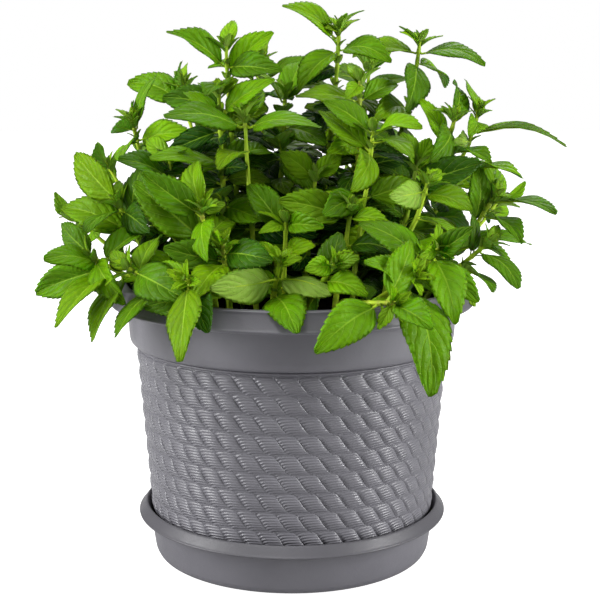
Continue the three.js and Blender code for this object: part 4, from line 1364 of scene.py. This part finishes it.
@dataclass
class Leaf:
    """A mint leaf on its petiole, from the stem's middle to the leaf's tip."""

    root: np.ndarray
    along: np.ndarray
    normal: np.ndarray
    length: float
    arch: float
    fold: float
    wave: float
    tone: float
    youth: float
    lot: float
    detail: LeafDetail
    width: float = LEAF_WIDTH
    petiole: float = PETIOLE_SHARE
    twist: float = 0.0
    droop: float = 0.025
    sway: float = 0.0
    thickness: float = 0.42
    blade_end: float = 0.985
    edge_start: float = 0.6
    tooth_lean: float = 0.3
    ripples: float = 1.6
    edge_curl: float = 0.13

    @property
    def side(self) -> np.ndarray:
        """The direction across the blade."""
        return np.cross(self.along, self.normal)

    def middle(self, share: np.ndarray) -> np.ndarray:
        """Return points on the midrib at shares of the blade; below 0 they are on the petiole.

        Args:
            share: The shares, from the blade's base at 0 to its tip at 1.

        Returns:
            The points, one row each.
        """
        blade = np.clip(share, 0, 1)
        run = (self.petiole + share * (1 - self.petiole)) * self.length
        bow = (self.arch * np.sin(math.pi * blade) - self.droop * blade ** 2.4) * self.length
        aside = self.sway * np.sin(math.pi * blade) * self.length
        return (self.root + np.outer(run, self.along) + np.outer(bow, self.normal)
                + np.outer(aside, self.side))

    def outline(self, share: np.ndarray, phase: np.ndarray) -> np.ndarray:
        """Return the half width at shares of the blade, cut by forward teeth.

        Args:
            share: The shares of the blade.
            phase: How far each is through its tooth.

        Returns:
            The half widths.
        """
        along = np.clip(share, 0.001, 1)
        shape = along ** BLADE_SWELL * (1 - along) ** BLADE_TAPER / BLADE_WIDEST
        rise = np.where(phase < TOOTH_POINT, phase / TOOTH_POINT, (1 - phase) / (1 - TOOTH_POINT))
        depth = TINY_TOOTH_DEPTH if self.detail is LeafDetail.TINY else TOOTH_DEPTH
        tooth = TOOTH_BASE + depth * (rise - TOOTH_MEAN)
        full = 0.5 * self.width * self.length * shape * tooth
        return np.sqrt(full ** 2 + (BLADE_EDGE * self.length) ** 2)

    def relief(self, across: np.ndarray, share: np.ndarray) -> np.ndarray:
        """Return the pillows between the side veins and the groove of the midrib.

        Args:
            across: The places across the blade, from -1 to 1.
            share: The places along it.

        Returns:
            The heights.
        """
        aside = np.abs(across)
        phase = VEIN_PAIRS * (share - VEIN_LEAN * aside ** VEIN_CURVE) + VEIN_STAGGER * (across > 0)
        pillow = np.abs(np.sin(math.pi * phase)) ** 0.7
        inside = aside ** 0.6 * np.clip(1 - aside ** 4, 0, 1) * np.sin(math.pi * np.clip(share, 0, 1)) ** 0.4
        groove = np.exp(-((aside / GROOVE_WIDTH) ** 2)) * (1 - 0.7 * share)
        return self.length * (PILLOW_RISE * pillow * inside - GROOVE_DEPTH * groove)

    def blade(self) -> tuple[np.ndarray, list, np.ndarray]:
        """Build the blade as one closed thin body.

        Returns:
            Its points, its faces, and the place of each point as (across, along, underside).
        """
        teeth, rows, half = self.detail.value
        offsets = {3: (0.0, 0.42, 0.78), 2: (0.0, 0.7)}[rows]
        phase = np.tile(offsets, teeth)
        share = (np.repeat(np.arange(teeth), rows) + phase) / teeth * self.blade_end
        columns = np.array([-c for c in reversed(half[1:])] + list(half))
        count, wide = len(share), len(columns)
        across = np.tile(columns, (count, 1))
        shares = np.tile(share[:, None], (1, wide))
        edge = self.outline(share, phase)[:, None]
        calm = self.outline(share, np.full(count, 0.45))[:, None]
        near_edge = np.clip((np.abs(across) - self.edge_start) / (1 - self.edge_start), 0, 1)
        reach = across * (calm + (edge - calm) * near_edge)
        lean = np.clip(phase / 0.78, 0, 1)[:, None]
        forward = near_edge ** 2 * lean * (self.tooth_lean / teeth) * self.length
        turn = self.twist * shares
        side = self.side
        flat = 0.5 * self.width * self.length
        ripple = np.sin(FULL_TURN * self.ripples * shares + 9 * self.lot + 1.3 * np.sign(across))
        up = np.abs(reach) * math.sin(self.fold) * np.clip(np.abs(across) * 1.6, 0.3, 1)
        wave = 0.8 * self.wave * flat * ripple * across ** 2
        up = up - self.edge_curl * np.abs(reach) * across ** 4 + wave
        up = up + self.relief(across, shares)
        out = reach * math.cos(self.fold)
        middle = self.middle(share)[:, None, :]
        lateral = np.cos(turn)[..., None] * side + np.sin(turn)[..., None] * self.normal
        upward = np.cos(turn)[..., None] * self.normal - np.sin(turn)[..., None] * side
        top = middle + out[..., None] * lateral + up[..., None] * upward + forward[..., None] * self.along
        skin = self.thickness * np.clip(self.length / 45, 0.4, 1) * np.sqrt(1 - across ** 6)
        bottom = (top - skin[..., None] * upward)[:, 1:-1]
        tip = self.middle(np.array([1.0]))
        points = np.concatenate([top.reshape(-1, 3), bottom.reshape(-1, 3), tip])
        upper = np.arange(count * wide).reshape(count, wide)
        lower = upper.copy()
        lower[:, 1:-1] = count * wide + np.arange(count * (wide - 2)).reshape(count, wide - 2)
        last = len(points) - 1
        faces = self.quads(upper) + self.quads(lower[:, ::-1])
        for row in (upper[-1], lower[-1][::-1]):
            faces.extend([[int(a), int(b), last] for a, b in zip(row, row[1:])])
        faces.append([*upper[0][::-1].tolist(), *lower[0][1:-1].tolist()])
        flags = np.zeros(len(points))
        flags[count * wide:last] = 1
        flat_place = np.column_stack([across.ravel(), shares.ravel()])
        under_place = np.column_stack([across[:, 1:-1].ravel(), shares[:, 1:-1].ravel()])
        place = np.column_stack([np.concatenate([flat_place, under_place, [[0.0, 1.0]]]), flags])
        return points, faces, place

    @staticmethod
    def quads(grid: np.ndarray) -> list:
        """Return the faces of a grid of point numbers, which face up from left to right and root to tip."""
        a, b, c, d = grid[:-1, :-1], grid[:-1, 1:], grid[1:, 1:], grid[1:, :-1]
        return np.stack([a, b, c, d], -1).reshape(-1, 4).tolist()

    def rib(self) -> tuple[np.ndarray, np.ndarray]:
        """Return the line and the radii of the petiole and of the rib under the blade.

        Returns:
            The line's points, and the radius at each.
        """
        base = -self.petiole / (1 - self.petiole)
        share = np.concatenate([base * np.array(PETIOLE_STATIONS), RIB_STATIONS])
        size = np.clip(self.length / 46, 0.35, 1.15)
        radii = size * np.array(RIB_RADII)
        line = self.middle(share)
        sunk = np.where(share > 0, radii + 0.22 + 0.008 * self.length * (1 - share), 0.35 * radii)
        sag = np.where(share < 0, 0.03 * self.length * np.sin(math.pi * (1 - share / base)), 0)
        return line - np.outer(sunk + sag, self.normal), radii

    def samples(self) -> np.ndarray:
        """Return points spread over the blade, for telling leaves apart.

        Returns:
            The points, one row each.
        """
        share = np.array([0.08, 0.28, 0.5, 0.72, 0.94])
        middle = self.middle(share)
        half = self.outline(share, np.full(5, 0.5)) * 0.66
        aside = np.outer(half, self.side) + np.outer(half * math.sin(self.fold), self.normal)
        return np.concatenate([middle, middle + aside, middle - aside])


def leaf_axes(root: np.ndarray, turn: float, lift: float, roll: float) -> tuple[np.ndarray, np.ndarray]:
    """Return which way a leaf runs, and the normal of its upper side, as the frame's leaves have them.

    Args:
        root: Where it leaves its stem.
        turn: Its turn from +X towards +Y, in degrees.
        lift: Its lift, in degrees.
        roll: How far it is rolled about its own length, in degrees.

    Returns:
        The unit way and the unit normal.
    """
    a, b = math.radians(turn), math.radians(lift)
    along = np.array([math.cos(b) * math.cos(a), math.cos(b) * math.sin(a), math.sin(b)])
    facing = unit(np.array([root[0], root[1] - LIGHT_BEHIND, LIGHT_HEIGHT]))
    normal = unit(facing - (facing @ along) * along)
    r = math.radians(roll)
    return along, normal * math.cos(r) + np.cross(along, normal) * math.sin(r)


@dataclass
class Shoot:
    """One leafy stem of the frame, found again from the values that made it."""

    index: int
    foot: tuple[float, float]
    bud: tuple[float, float, float]
    upturn: float
    specs: list[LeafPlace]
    drops: np.ndarray = field(default_factory=lambda: np.zeros(0))
    stations: np.ndarray = field(default_factory=lambda: np.zeros((0, 3)))
    leaves: list[Leaf] = field(default_factory=list)
    nodes: list[float] = field(default_factory=list)

    @property
    def name(self) -> str:
        """The name of the frame's node."""
        return f"shoot_{self.index + 1:02d}"

    def lay_stations(self, sway: float) -> None:
        """Set the stem's stations from the bud down, as the frame does for that sway.

        Args:
            sway: How far the stem's middle is moved aside.
        """
        start = np.array([*self.foot, SOIL_TOP + 6.0])
        end = np.array(self.bud, float)
        way = end - start
        reach = np.linalg.norm(way)
        aside = unit(np.array([-way[1], way[0], 0.0])) * sway
        low = start + np.array([0.15 * way[0], 0.15 * way[1], 0.45 * reach]) + aside
        heading = unit(way / reach * (1 - self.upturn) + UP * self.upturn)
        high = end - 0.35 * reach * heading + aside
        t = np.linspace(0, 1, 201)[:, None]
        curve = (1 - t) ** 3 * start + 3 * (1 - t) ** 2 * t * low + 3 * (1 - t) * t * t * high + t ** 3 * end
        runs = np.concatenate([[0], np.cumsum(np.linalg.norm(np.diff(curve, axis=0), axis=1))])
        length = runs[-1]
        drops = [0.0, *[float(d) for d in STEM_DROPS if d < length - 20]]
        drops += [(drops[-1] + length) / 2, length]
        at = np.interp(length - np.array(drops), runs, t[:, 0])[:, None]
        self.stations = ((1 - at) ** 3 * start + 3 * (1 - at) ** 2 * at * low
                         + 3 * (1 - at) * at * at * high + at ** 3 * end)
        self.drops = np.array(drops)

    def point(self, wanted: float | np.ndarray) -> np.ndarray:
        """Return the stem's point that far below its bud."""
        return np.stack([np.interp(wanted, self.drops, self.stations[:, k]) for k in range(3)], -1)

    def tries(self, spec: LeafPlace) -> list[tuple[float, np.ndarray, float, float, float]]:
        """Return the places that the frame tries for a leaf, as (drop, root, turn, lift, length).

        Args:
            spec: The leaf as it is listed.

        Returns:
            The places, in the order they are tried.
        """
        drop = min(NODE_DROPS[spec.node], (1 - BARE_SHARE) * self.drops[-1])
        root = self.point(drop)
        turn, lift = spec.aim(root)
        return [(drop, root, turn + t, lift + rise, spec.length * size) for size, rise, t in LEAF_TRIES]

    def find(self, corners: np.ndarray) -> int:
        """Find the sway and the leaves of this shoot in the frame.

        Args:
            corners: The points of the frame's node.

        Returns:
            How many leaves the frame has of those listed.
        """
        best: tuple[int, float, list] = (-1, 0.0, [])
        for sway in STEM_SWAYS:
            self.lay_stations(sway)
            found = []
            for leaf, spec in enumerate(self.specs):
                places = self.tries(spec)
                tips = np.array([root + leaf_axes(root, turn, lift, 0)[0] * length
                                 for _, root, turn, lift, length in places])
                near = np.min(np.linalg.norm(tips[:, None] - corners[None], axis=2), axis=1)
                hits = np.nonzero(near < MATCH_WITHIN)[0]
                if len(hits):
                    found.append((leaf, places[hits[0]]))
            if len(found) > best[0]:
                best = (len(found), sway, found)
        self.lay_stations(best[1])
        for leaf, (drop, root, turn, lift, length) in best[2]:
            self.nodes.append(drop)
            self.leaves.append(self.frame_leaf(leaf, root, turn, lift, length))
        return best[0]

    def frame_leaf(self, leaf: int, root: np.ndarray, turn: float, lift: float, length: float) -> Leaf:
        """Make the fine leaf that stands for one of the frame's leaves.

        Args:
            leaf: Its place in the shoot's list.
            root: Where it leaves the stem.
            turn: Its turn, in degrees.
            lift: Its lift, in degrees.
            length: Its length with the petiole.

        Returns:
            The leaf.
        """
        def pick(purpose: Draw) -> float:
            """Return this leaf's draw for a purpose."""
            return draw(self.index, leaf, purpose)

        over = (self.index, leaf) in TURNED_OVER
        bend = -1 if over else 1
        roll = LEAF_ROLL * (pick(Draw.ROLL) - 0.5) + ROLLED_OVER * over
        along, normal = leaf_axes(root, turn, lift, roll)
        detail = LeafDetail.LARGE if length > LARGE_LEAF else LeafDetail.MIDDLE
        if length < SMALL_LEAF:
            detail = LeafDetail.SMALL
        return Leaf(root, along, normal, length,
                    arch=bend * (0.04 + 0.08 * pick(Draw.ARCH)),
                    fold=0.06 + 0.5 * pick(Draw.FOLD) ** 1.5,
                    wave=0.13 * pick(Draw.WAVE),
                    tone=self.tone(leaf, root),
                    youth=float(np.clip(1.1 - length / 34, 0, 0.8)),
                    lot=pick(Draw.LOT),
                    detail=detail,
                    width=min(0.5 + 0.12 * pick(Draw.WIDTH), 0.29 + 10 / length),
                    twist=1.3 * (pick(Draw.TWIST) - 0.5),
                    droop=bend * 0.14 * pick(Draw.DROOP),
                    sway=0.07 * (pick(Draw.SWAY) - 0.5))

    def tone(self, leaf: int, root: np.ndarray) -> float:
        """Return how light a leaf is: as listed, or from its place and a draw.

        Args:
            leaf: Its place in the shoot's list.
            root: Where it leaves the stem.

        Returns:
            The tone, from 0 to 1.
        """
        for shade, places in TONED_LEAVES.items():
            if (self.index, leaf) in places:
                return shade.value
        # Higher and outer leaves get a lighter tone, which is painted light and shade; the draw adds a tone
        # that differs at random
        height = (root[2] - SOIL_TOP) / PLANT_HEIGHT
        outside = min(np.hypot(root[0], root[1] - PLANT_BACK) / PLANT_RADIUS, 1)
        stray = draw(self.index, leaf, Draw.TONE) - 0.5
        return float(np.clip(0.1 + 0.42 * height + 0.24 * outside + 0.75 * stray, 0, 1))

    def stem_line(self) -> tuple[np.ndarray, np.ndarray, np.ndarray]:
        """Return the stem's line from the bud into the soil, its radii, and its looks.

        Returns:
            The line's points, and the radius and the looks at each.
        """
        length = self.drops[-1]
        nodes = np.array(sorted(set(self.nodes)))
        near = [nodes + d for d in (-1.8, 0.0, 1.8)] if len(nodes) else []
        marks = np.concatenate([np.linspace(0, length, STEM_MARKS), *near])
        wanted = np.unique(np.clip(np.round(marks, 1), 0, length))
        line = self.point(wanted)
        for _ in range(3):
            line[1:-1] = 0.5 * line[1:-1] + 0.25 * (line[:-2] + line[2:])
        share = wanted / length
        swell = np.zeros_like(wanted)
        for node in nodes:
            swell = swell + np.exp(-(((wanted - node) / NODE_REACH) ** 2))
        radii = (STEM_THIN + STEM_GAIN * share) * (1 + NODE_SWELL * np.clip(swell, 0, 1))
        foot = line[-1].copy()
        foot[2] = SOIL_TOP - STEM_BURIED
        line = np.concatenate([line, [foot]])
        radii = np.append(radii, radii[-1])
        blush = np.append(np.clip(swell, 0, 1) * np.clip(1 - share * 1.4, 0, 1) + 0.25 * (share < 0.3), 0)
        lot = np.full(len(line), draw(self.index, 0, Draw.STEM_LOT))
        looks = np.column_stack([np.append(share, 1.0), blush, lot])
        return line, radii, looks


@dataclass
class MintPlant:
    """All the shoots of the mint, with the small leaves that the frame leaves out."""

    frame: dict
    trees: GrowthTrees
    leaf_skin: bpy.types.Material
    stem_skin: bpy.types.Material
    gap: float = 3.4
    open_front: float = -22.0
    open_gap: float = 8.0
    inner_first: float = 16.0
    inner_share: float = 0.94
    inner_step: float = 9.0
    inner_tries: int = 7
    inner_sizes: tuple[float, float] = (26.0, 48.0)
    heap_radius: float = 122.0
    heap_height: float = 168.0
    taken: list[np.ndarray] = field(default_factory=list)
    rng: np.random.Generator = field(default_factory=lambda: np.random.default_rng(SEED))

    def ruled(self, shoot: int) -> list[LeafPlace]:
        """Return a shoot's leaves by the frame's rule of opposite pairs.

        Args:
            shoot: The shoot's number.

        Returns:
            The leaves' places.
        """
        start = 360 * draw(shoot, 0, Draw.START)
        leaves = []
        for pair, (node, lift, length) in enumerate(RULED_PAIRS):
            for twin, half in enumerate((0, 180)):
                aside = RULED_STRAY * (draw(shoot, pair, Draw.HEADING + twin) - 0.5)
                turn = start + 90 * pair + half + aside
                rise = lift + RULED_STRAY * (draw(shoot, pair, Draw.LIFT + twin) - 0.5)
                size = length * (0.85 + 0.3 * draw(shoot, pair, Draw.LENGTH + twin))
                leaves.append(hidden(node, turn, rise, size))
        return leaves

    def find_shoots(self) -> list[Shoot]:
        """Return the frame's shoots with their leaves found again.

        Returns:
            The shoots.
        """
        rows = FRONT_SHOOTS + [(*row, None) for row in OTHER_SHOOTS]
        shoots = []
        for index, (foot, bud, upturn, specs) in enumerate(rows):
            shoot = Shoot(index, foot, bud, upturn, specs or self.ruled(index))
            mesh = self.frame["nodes"][shoot.name].data
            corners = np.array([v.co for v in mesh.vertices]) / METRES
            found = shoot.find(np.unique(np.round(corners, 3), axis=0))
            if found < len(shoot.specs):
                LOG.info("%s: %d of %d leaves found", shoot.name, found, len(shoot.specs))
            shoots.append(shoot)
        return shoots

    def is_clear(self, leaf: Leaf, gap: float) -> bool:
        """True where a leaf keeps its distance from all that is placed.

        Args:
            leaf: The leaf.
            gap: The least distance.

        Returns:
            Whether it is clear.
        """
        spots = leaf.samples()
        placed = np.concatenate(self.taken)
        near = placed[np.linalg.norm(placed - spots.mean(0), axis=1) < leaf.length + gap]
        return not len(near) or np.min(np.linalg.norm(spots[:, None] - near[None], axis=2)) > gap

    def fill(self, shoot: Shoot) -> None:
        """Add the inner leaves of a shoot, in pairs down its stem, where there is room.

        Args:
            shoot: The shoot, which the leaves are added to.
        """
        length = shoot.drops[-1]
        turn = 360 * self.rng.random()
        for drop in np.arange(self.inner_first, self.inner_share * length, self.inner_step):
            if any(abs(drop - node) < 3 for node in shoot.nodes):
                continue
            turn += 90
            for half in (0, 180):
                at = drop + 1.5 * self.rng.standard_normal()
                root = shoot.point(at)
                for _ in range(self.inner_tries):
                    size = self.rng.uniform(*self.inner_sizes)
                    heading = turn + half + self.rng.uniform(-35, 35)
                    lift = self.rng.uniform(-28, 34)
                    along, normal = leaf_axes(root, heading, lift, self.rng.uniform(-18, 18))
                    tip = root + along * size
                    inside = ((np.hypot(tip[0], tip[1]) / self.heap_radius) ** 2
                              + ((tip[2] - self.heap_height) / self.heap_height) ** 2)
                    # Inner leaves get a low tone, which is painted shade for the plant's inside
                    leaf = Leaf(root, along, normal, size, self.rng.uniform(0.04, 0.12),
                                self.rng.uniform(0.1, 0.35), self.rng.uniform(0, 0.1),
                                self.rng.uniform(0.0, 0.14), 0.0, self.rng.random(), LeafDetail.INNER,
                                width=self.rng.uniform(0.48, 0.6),
                                twist=self.rng.uniform(-0.5, 0.5), droop=self.rng.uniform(0.02, 0.12),
                                sway=self.rng.uniform(-0.04, 0.04))
                    gap = self.gap if root[1] > self.open_front else self.open_gap
                    if inside < 1 and tip[2] > SOIL_TOP + 6 and self.is_clear(leaf, gap):
                        shoot.leaves.append(leaf)
                        shoot.nodes.append(float(at))
                        self.taken.append(leaf.samples())
                        break

    def crown(self, shoot: Shoot) -> list[Leaf]:
        """Return the tiny leaves round the bud and in the axils.

        Args:
            shoot: The shoot.

        Returns:
            The leaves.
        """
        heading = unit(shoot.stations[0] - shoot.stations[1])
        across = unit(np.cross(heading, UP + 0.01))
        made = []
        turn = 360 * self.rng.random()
        for level, (drop, size, spread) in enumerate(CROWN_LEVELS):
            for half in (0, 180):
                angle = math.radians(turn + 90 * level + half + self.rng.uniform(-12, 12))
                out = across * math.cos(angle) + np.cross(heading, across) * math.sin(angle)
                open_by = math.radians(spread + self.rng.uniform(-8, 8))
                along = unit(heading * math.cos(open_by) + out * math.sin(open_by))
                length = size * self.rng.uniform(0.85, 1.15)
                made.append(self.bract(shoot.point(drop), along, heading, length, level))
        for drop in sorted(set(shoot.nodes)):
            if drop < 6 or self.rng.random() < 0.35:
                continue
            for half in (0, 180):
                angle = math.radians(turn + half + self.rng.uniform(-40, 40))
                out = across * math.cos(angle) + np.cross(heading, across) * math.sin(angle)
                made.append(self.bract(shoot.point(drop), unit(0.75 * heading + 0.7 * out), heading,
                                       self.rng.uniform(6, 13), 2))
        return made

    def bract(self, root: np.ndarray, along: np.ndarray, heading: np.ndarray, size: float,
              level: int) -> Leaf:
        """Make one tiny leaf, whose upper side faces the stem.

        Args:
            root: Where it starts.
            along: Which way it runs.
            heading: Which way the stem runs.
            size: Its length.
            level: Its ring, counted from the bud.

        Returns:
            The leaf.
        """
        normal = unit(heading - (heading @ along) * along + 1e-6)
        detail = LeafDetail.TINY if size < 11 else LeafDetail.SMALL
        return Leaf(root, along, normal, size, 0.06, 0.42, 0.03, self.rng.uniform(0.5, 0.9),
                    0.85 - 0.12 * level, self.rng.random(), detail, width=0.5, petiole=0.05, droop=0.05,
                    thickness=0.3)

    def dress(self, shoot: Shoot) -> bpy.types.Object:
        """Build the mesh of one shoot and set it in the frame's place.

        Args:
            shoot: The shoot.

        Returns:
            The shoot's object.
        """
        shell = Shell()
        tiny = self.crown(shoot)
        for leaf in [*shoot.leaves, *tiny]:
            points, faces, place = leaf.blade()
            look = np.tile([leaf.tone, leaf.youth, leaf.lot], (len(points), 1))
            shell.add(points, faces, 0, leaf_place=place, leaf_look=look)
        stem = [shoot.stem_line()]
        ribs = []
        for leaf in shoot.leaves:
            line, radii = leaf.rib()
            ribs.append((line, radii, np.tile([0.2, 0.12, leaf.lot], (len(line), 1))))
        for wires, sides, square in ((stem, 12, 0.08), (ribs, 5, 0.0)):
            tube = self.tube(wires, sides, square)
            shell.add_mesh(tube, 1, ("leaf_look", "leaf_place"))
            bpy.data.meshes.remove(tube)
        made = shell.build(f"{shoot.name}_sprig", [self.leaf_skin, self.stem_skin])
        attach(made, "root")
        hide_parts(shoot.name)
        return made

    def tube(self, wires: list[tuple], sides: int, square: float) -> bpy.types.Mesh:
        """Run a section along wires, each as (line, radii, looks), and return the mesh.

        Args:
            wires: The wires.
            sides: How many sides the section has.
            square: How square it is.

        Returns:
            The tubes' mesh.
        """
        mesh = bpy.data.meshes.new("wire")
        points = np.concatenate([line for line, _, _ in wires])
        edges, start = [], 0
        for line, _, _ in wires:
            edges.extend([(start + i, start + i + 1) for i in range(len(line) - 1)])
            start += len(line)
        mesh.from_pydata((points * METRES).tolist(), edges, [])
        set_floats(mesh, "tube_radius", np.concatenate([radii for _, radii, _ in wires]) * METRES)
        set_vectors(mesh, "leaf_look", np.concatenate([looks for _, _, looks in wires]))
        set_vectors(mesh, "leaf_place", np.zeros((len(points), 3)))
        made = bpy.data.objects.new("wire", mesh)
        bpy.context.scene.collection.objects.link(made)
        with_tree(made, self.trees.trees[TreeKind.TUBE], {"Sides": sides, "Squareness": square,
                                                          "Material": self.stem_skin})
        tube = made.data
        bpy.data.objects.remove(made)
        return tube

    def build(self) -> None:
        """Build and place every shoot."""
        shoots = self.find_shoots()
        for shoot in shoots:
            self.taken.extend(leaf.samples() for leaf in shoot.leaves)
            self.taken.append(shoot.point(np.arange(4, shoot.drops[-1], 8.0)))
        for shoot in shoots:
            self.fill(shoot)
        faces = 0
        for shoot in shoots:
            made = self.dress(shoot)
            LOG.info("%s has %d faces", made.name, len(made.data.polygons))
            faces += len(made.data.polygons)
        leaves = sum(len(shoot.leaves) for shoot in shoots)
        LOG.info("%d shoots with %d leaves, %d faces", len(shoots), leaves, faces)


# The studio


@dataclass(frozen=True)
class Lamp:
    """A soft area light: its place and sides in metres and its power in watts."""

    name: str
    place: tuple[float, float, float]
    wide: float
    tall: float
    power: float


LAMPS = (
    Lamp("top_light", (-0.4, -0.8, 2.0), 0.8, 0.8, 17.0),
    Lamp("left_light", (-1.5, -0.4, 0.72), 0.4, 1.2, 35.0),
    Lamp("right_light", (1.5, -0.45, 0.66), 0.24, 1.2, 32.0),
    Lamp("back_light", (0.4, 1.4, 1.7), 1.0, 1.0, 13.0),
)


@dataclass
class Studio:
    """The pale floor, the soft lights and the camera at the photograph's viewing angle."""

    effects: SharedEffects
    horizon_light: float = 0.24
    zenith_light: float = 0.62
    floor_reach: float = 6000.0
    floor_level: float = -0.5
    aim: tuple[float, float, float] = (0.0, 0.0, 0.2)

    def hang(self, lamp: Lamp) -> None:
        """Hang a lamp so that it looks at the plant's middle.

        Args:
            lamp: The lamp.
        """
        light = bpy.data.lights.new(lamp.name, "AREA")
        light.shape = "RECTANGLE"
        light.size, light.size_y, light.energy = lamp.wide, lamp.tall, lamp.power
        made = bpy.data.objects.new(lamp.name, light)
        made.location = lamp.place
        made.rotation_euler = (Vector(self.aim) - Vector(lamp.place)).to_track_quat("-Z", "Y").to_euler()
        bpy.context.scene.collection.objects.link(made)

    def build(self) -> None:
        """Build the floor, the lights and the camera."""
        shell = Shell()
        ends = [(-1, -1), (1, -1), (1, 1), (-1, 1)]
        places = [(x * self.floor_reach, y * self.floor_reach, self.floor_level) for x, y in ends]
        shell.add(np.array(places), [[0, 1, 2, 3]])
        floor = shell.build("studio_floor", [FloorFinish("pale_floor").make(self.effects)])
        world = bpy.data.worlds.new("soft_surround")
        world.use_nodes = True
        bench = Bench(world.node_tree)
        sky = world.node_tree.nodes["Background"]
        way = bench.node("ShaderNodeTexCoord").outputs["Generated"]
        height = bench.node("ShaderNodeSeparateXYZ", {0: way}).outputs[2]
        dome = bench.ease(height, -0.1, 1.0, self.horizon_light, self.zenith_light)
        seen = bench.node("ShaderNodeLightPath").outputs["Is Camera Ray"]
        strength = bench.times_plus(seen, bench.minus(1.0, dome), dome)
        bench.feed(sky.inputs["Strength"], strength)
        sky.inputs["Color"].default_value = (1.0, 1.0, 1.0, 1.0)
        bpy.context.scene.world = world
        for lamp in LAMPS:
            self.hang(lamp)
        camera = bpy.data.cameras.new("photo_camera")
        camera.lens, camera.sensor_width = FOCAL * SENSOR_WIDTH / PICTURE_WIDTH, SENSOR_WIDTH
        camera.shift_x = (0.5 * PICTURE_WIDTH - MIDDLE_X) / PICTURE_WIDTH
        camera.clip_start, camera.clip_end = 0.05, 20.0
        made = bpy.data.objects.new("photo_camera", camera)
        made.location = (0, -CAMERA_DISTANCE * METRES, CAMERA_HEIGHT * METRES)
        made.rotation_euler = (math.radians(90 - CAMERA_PITCH), 0, 0)
        bpy.context.scene.collection.objects.link(made)
        bpy.context.scene.camera = made
        bpy.context.scene.view_settings.view_transform = "Standard"


def corners(box: tuple[Vector, Vector]) -> list[list[float]]:
    """Return a box's two corners as plain lists."""
    return [[float(x) for x in corner] for corner in box]


def main() -> None:
    """Build the plant and its studio around the frame."""
    logging.basicConfig(level=logging.INFO, format="%(message)s")
    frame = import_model()
    effects = SharedEffects()
    trees = GrowthTrees()
    Studio(effects).build()
    Planter(trees, PlasticFinish("satin_plastic").make(effects)).build()
    Soil(trees, SoilFinish("potting_soil").make(effects)).build()
    MintPlant(frame, trees, LeafFinish("mint_leaf_skin").make(effects),
              StemFinish("mint_stem_skin").make(effects)).build()


if __name__ == "__main__":
    main()
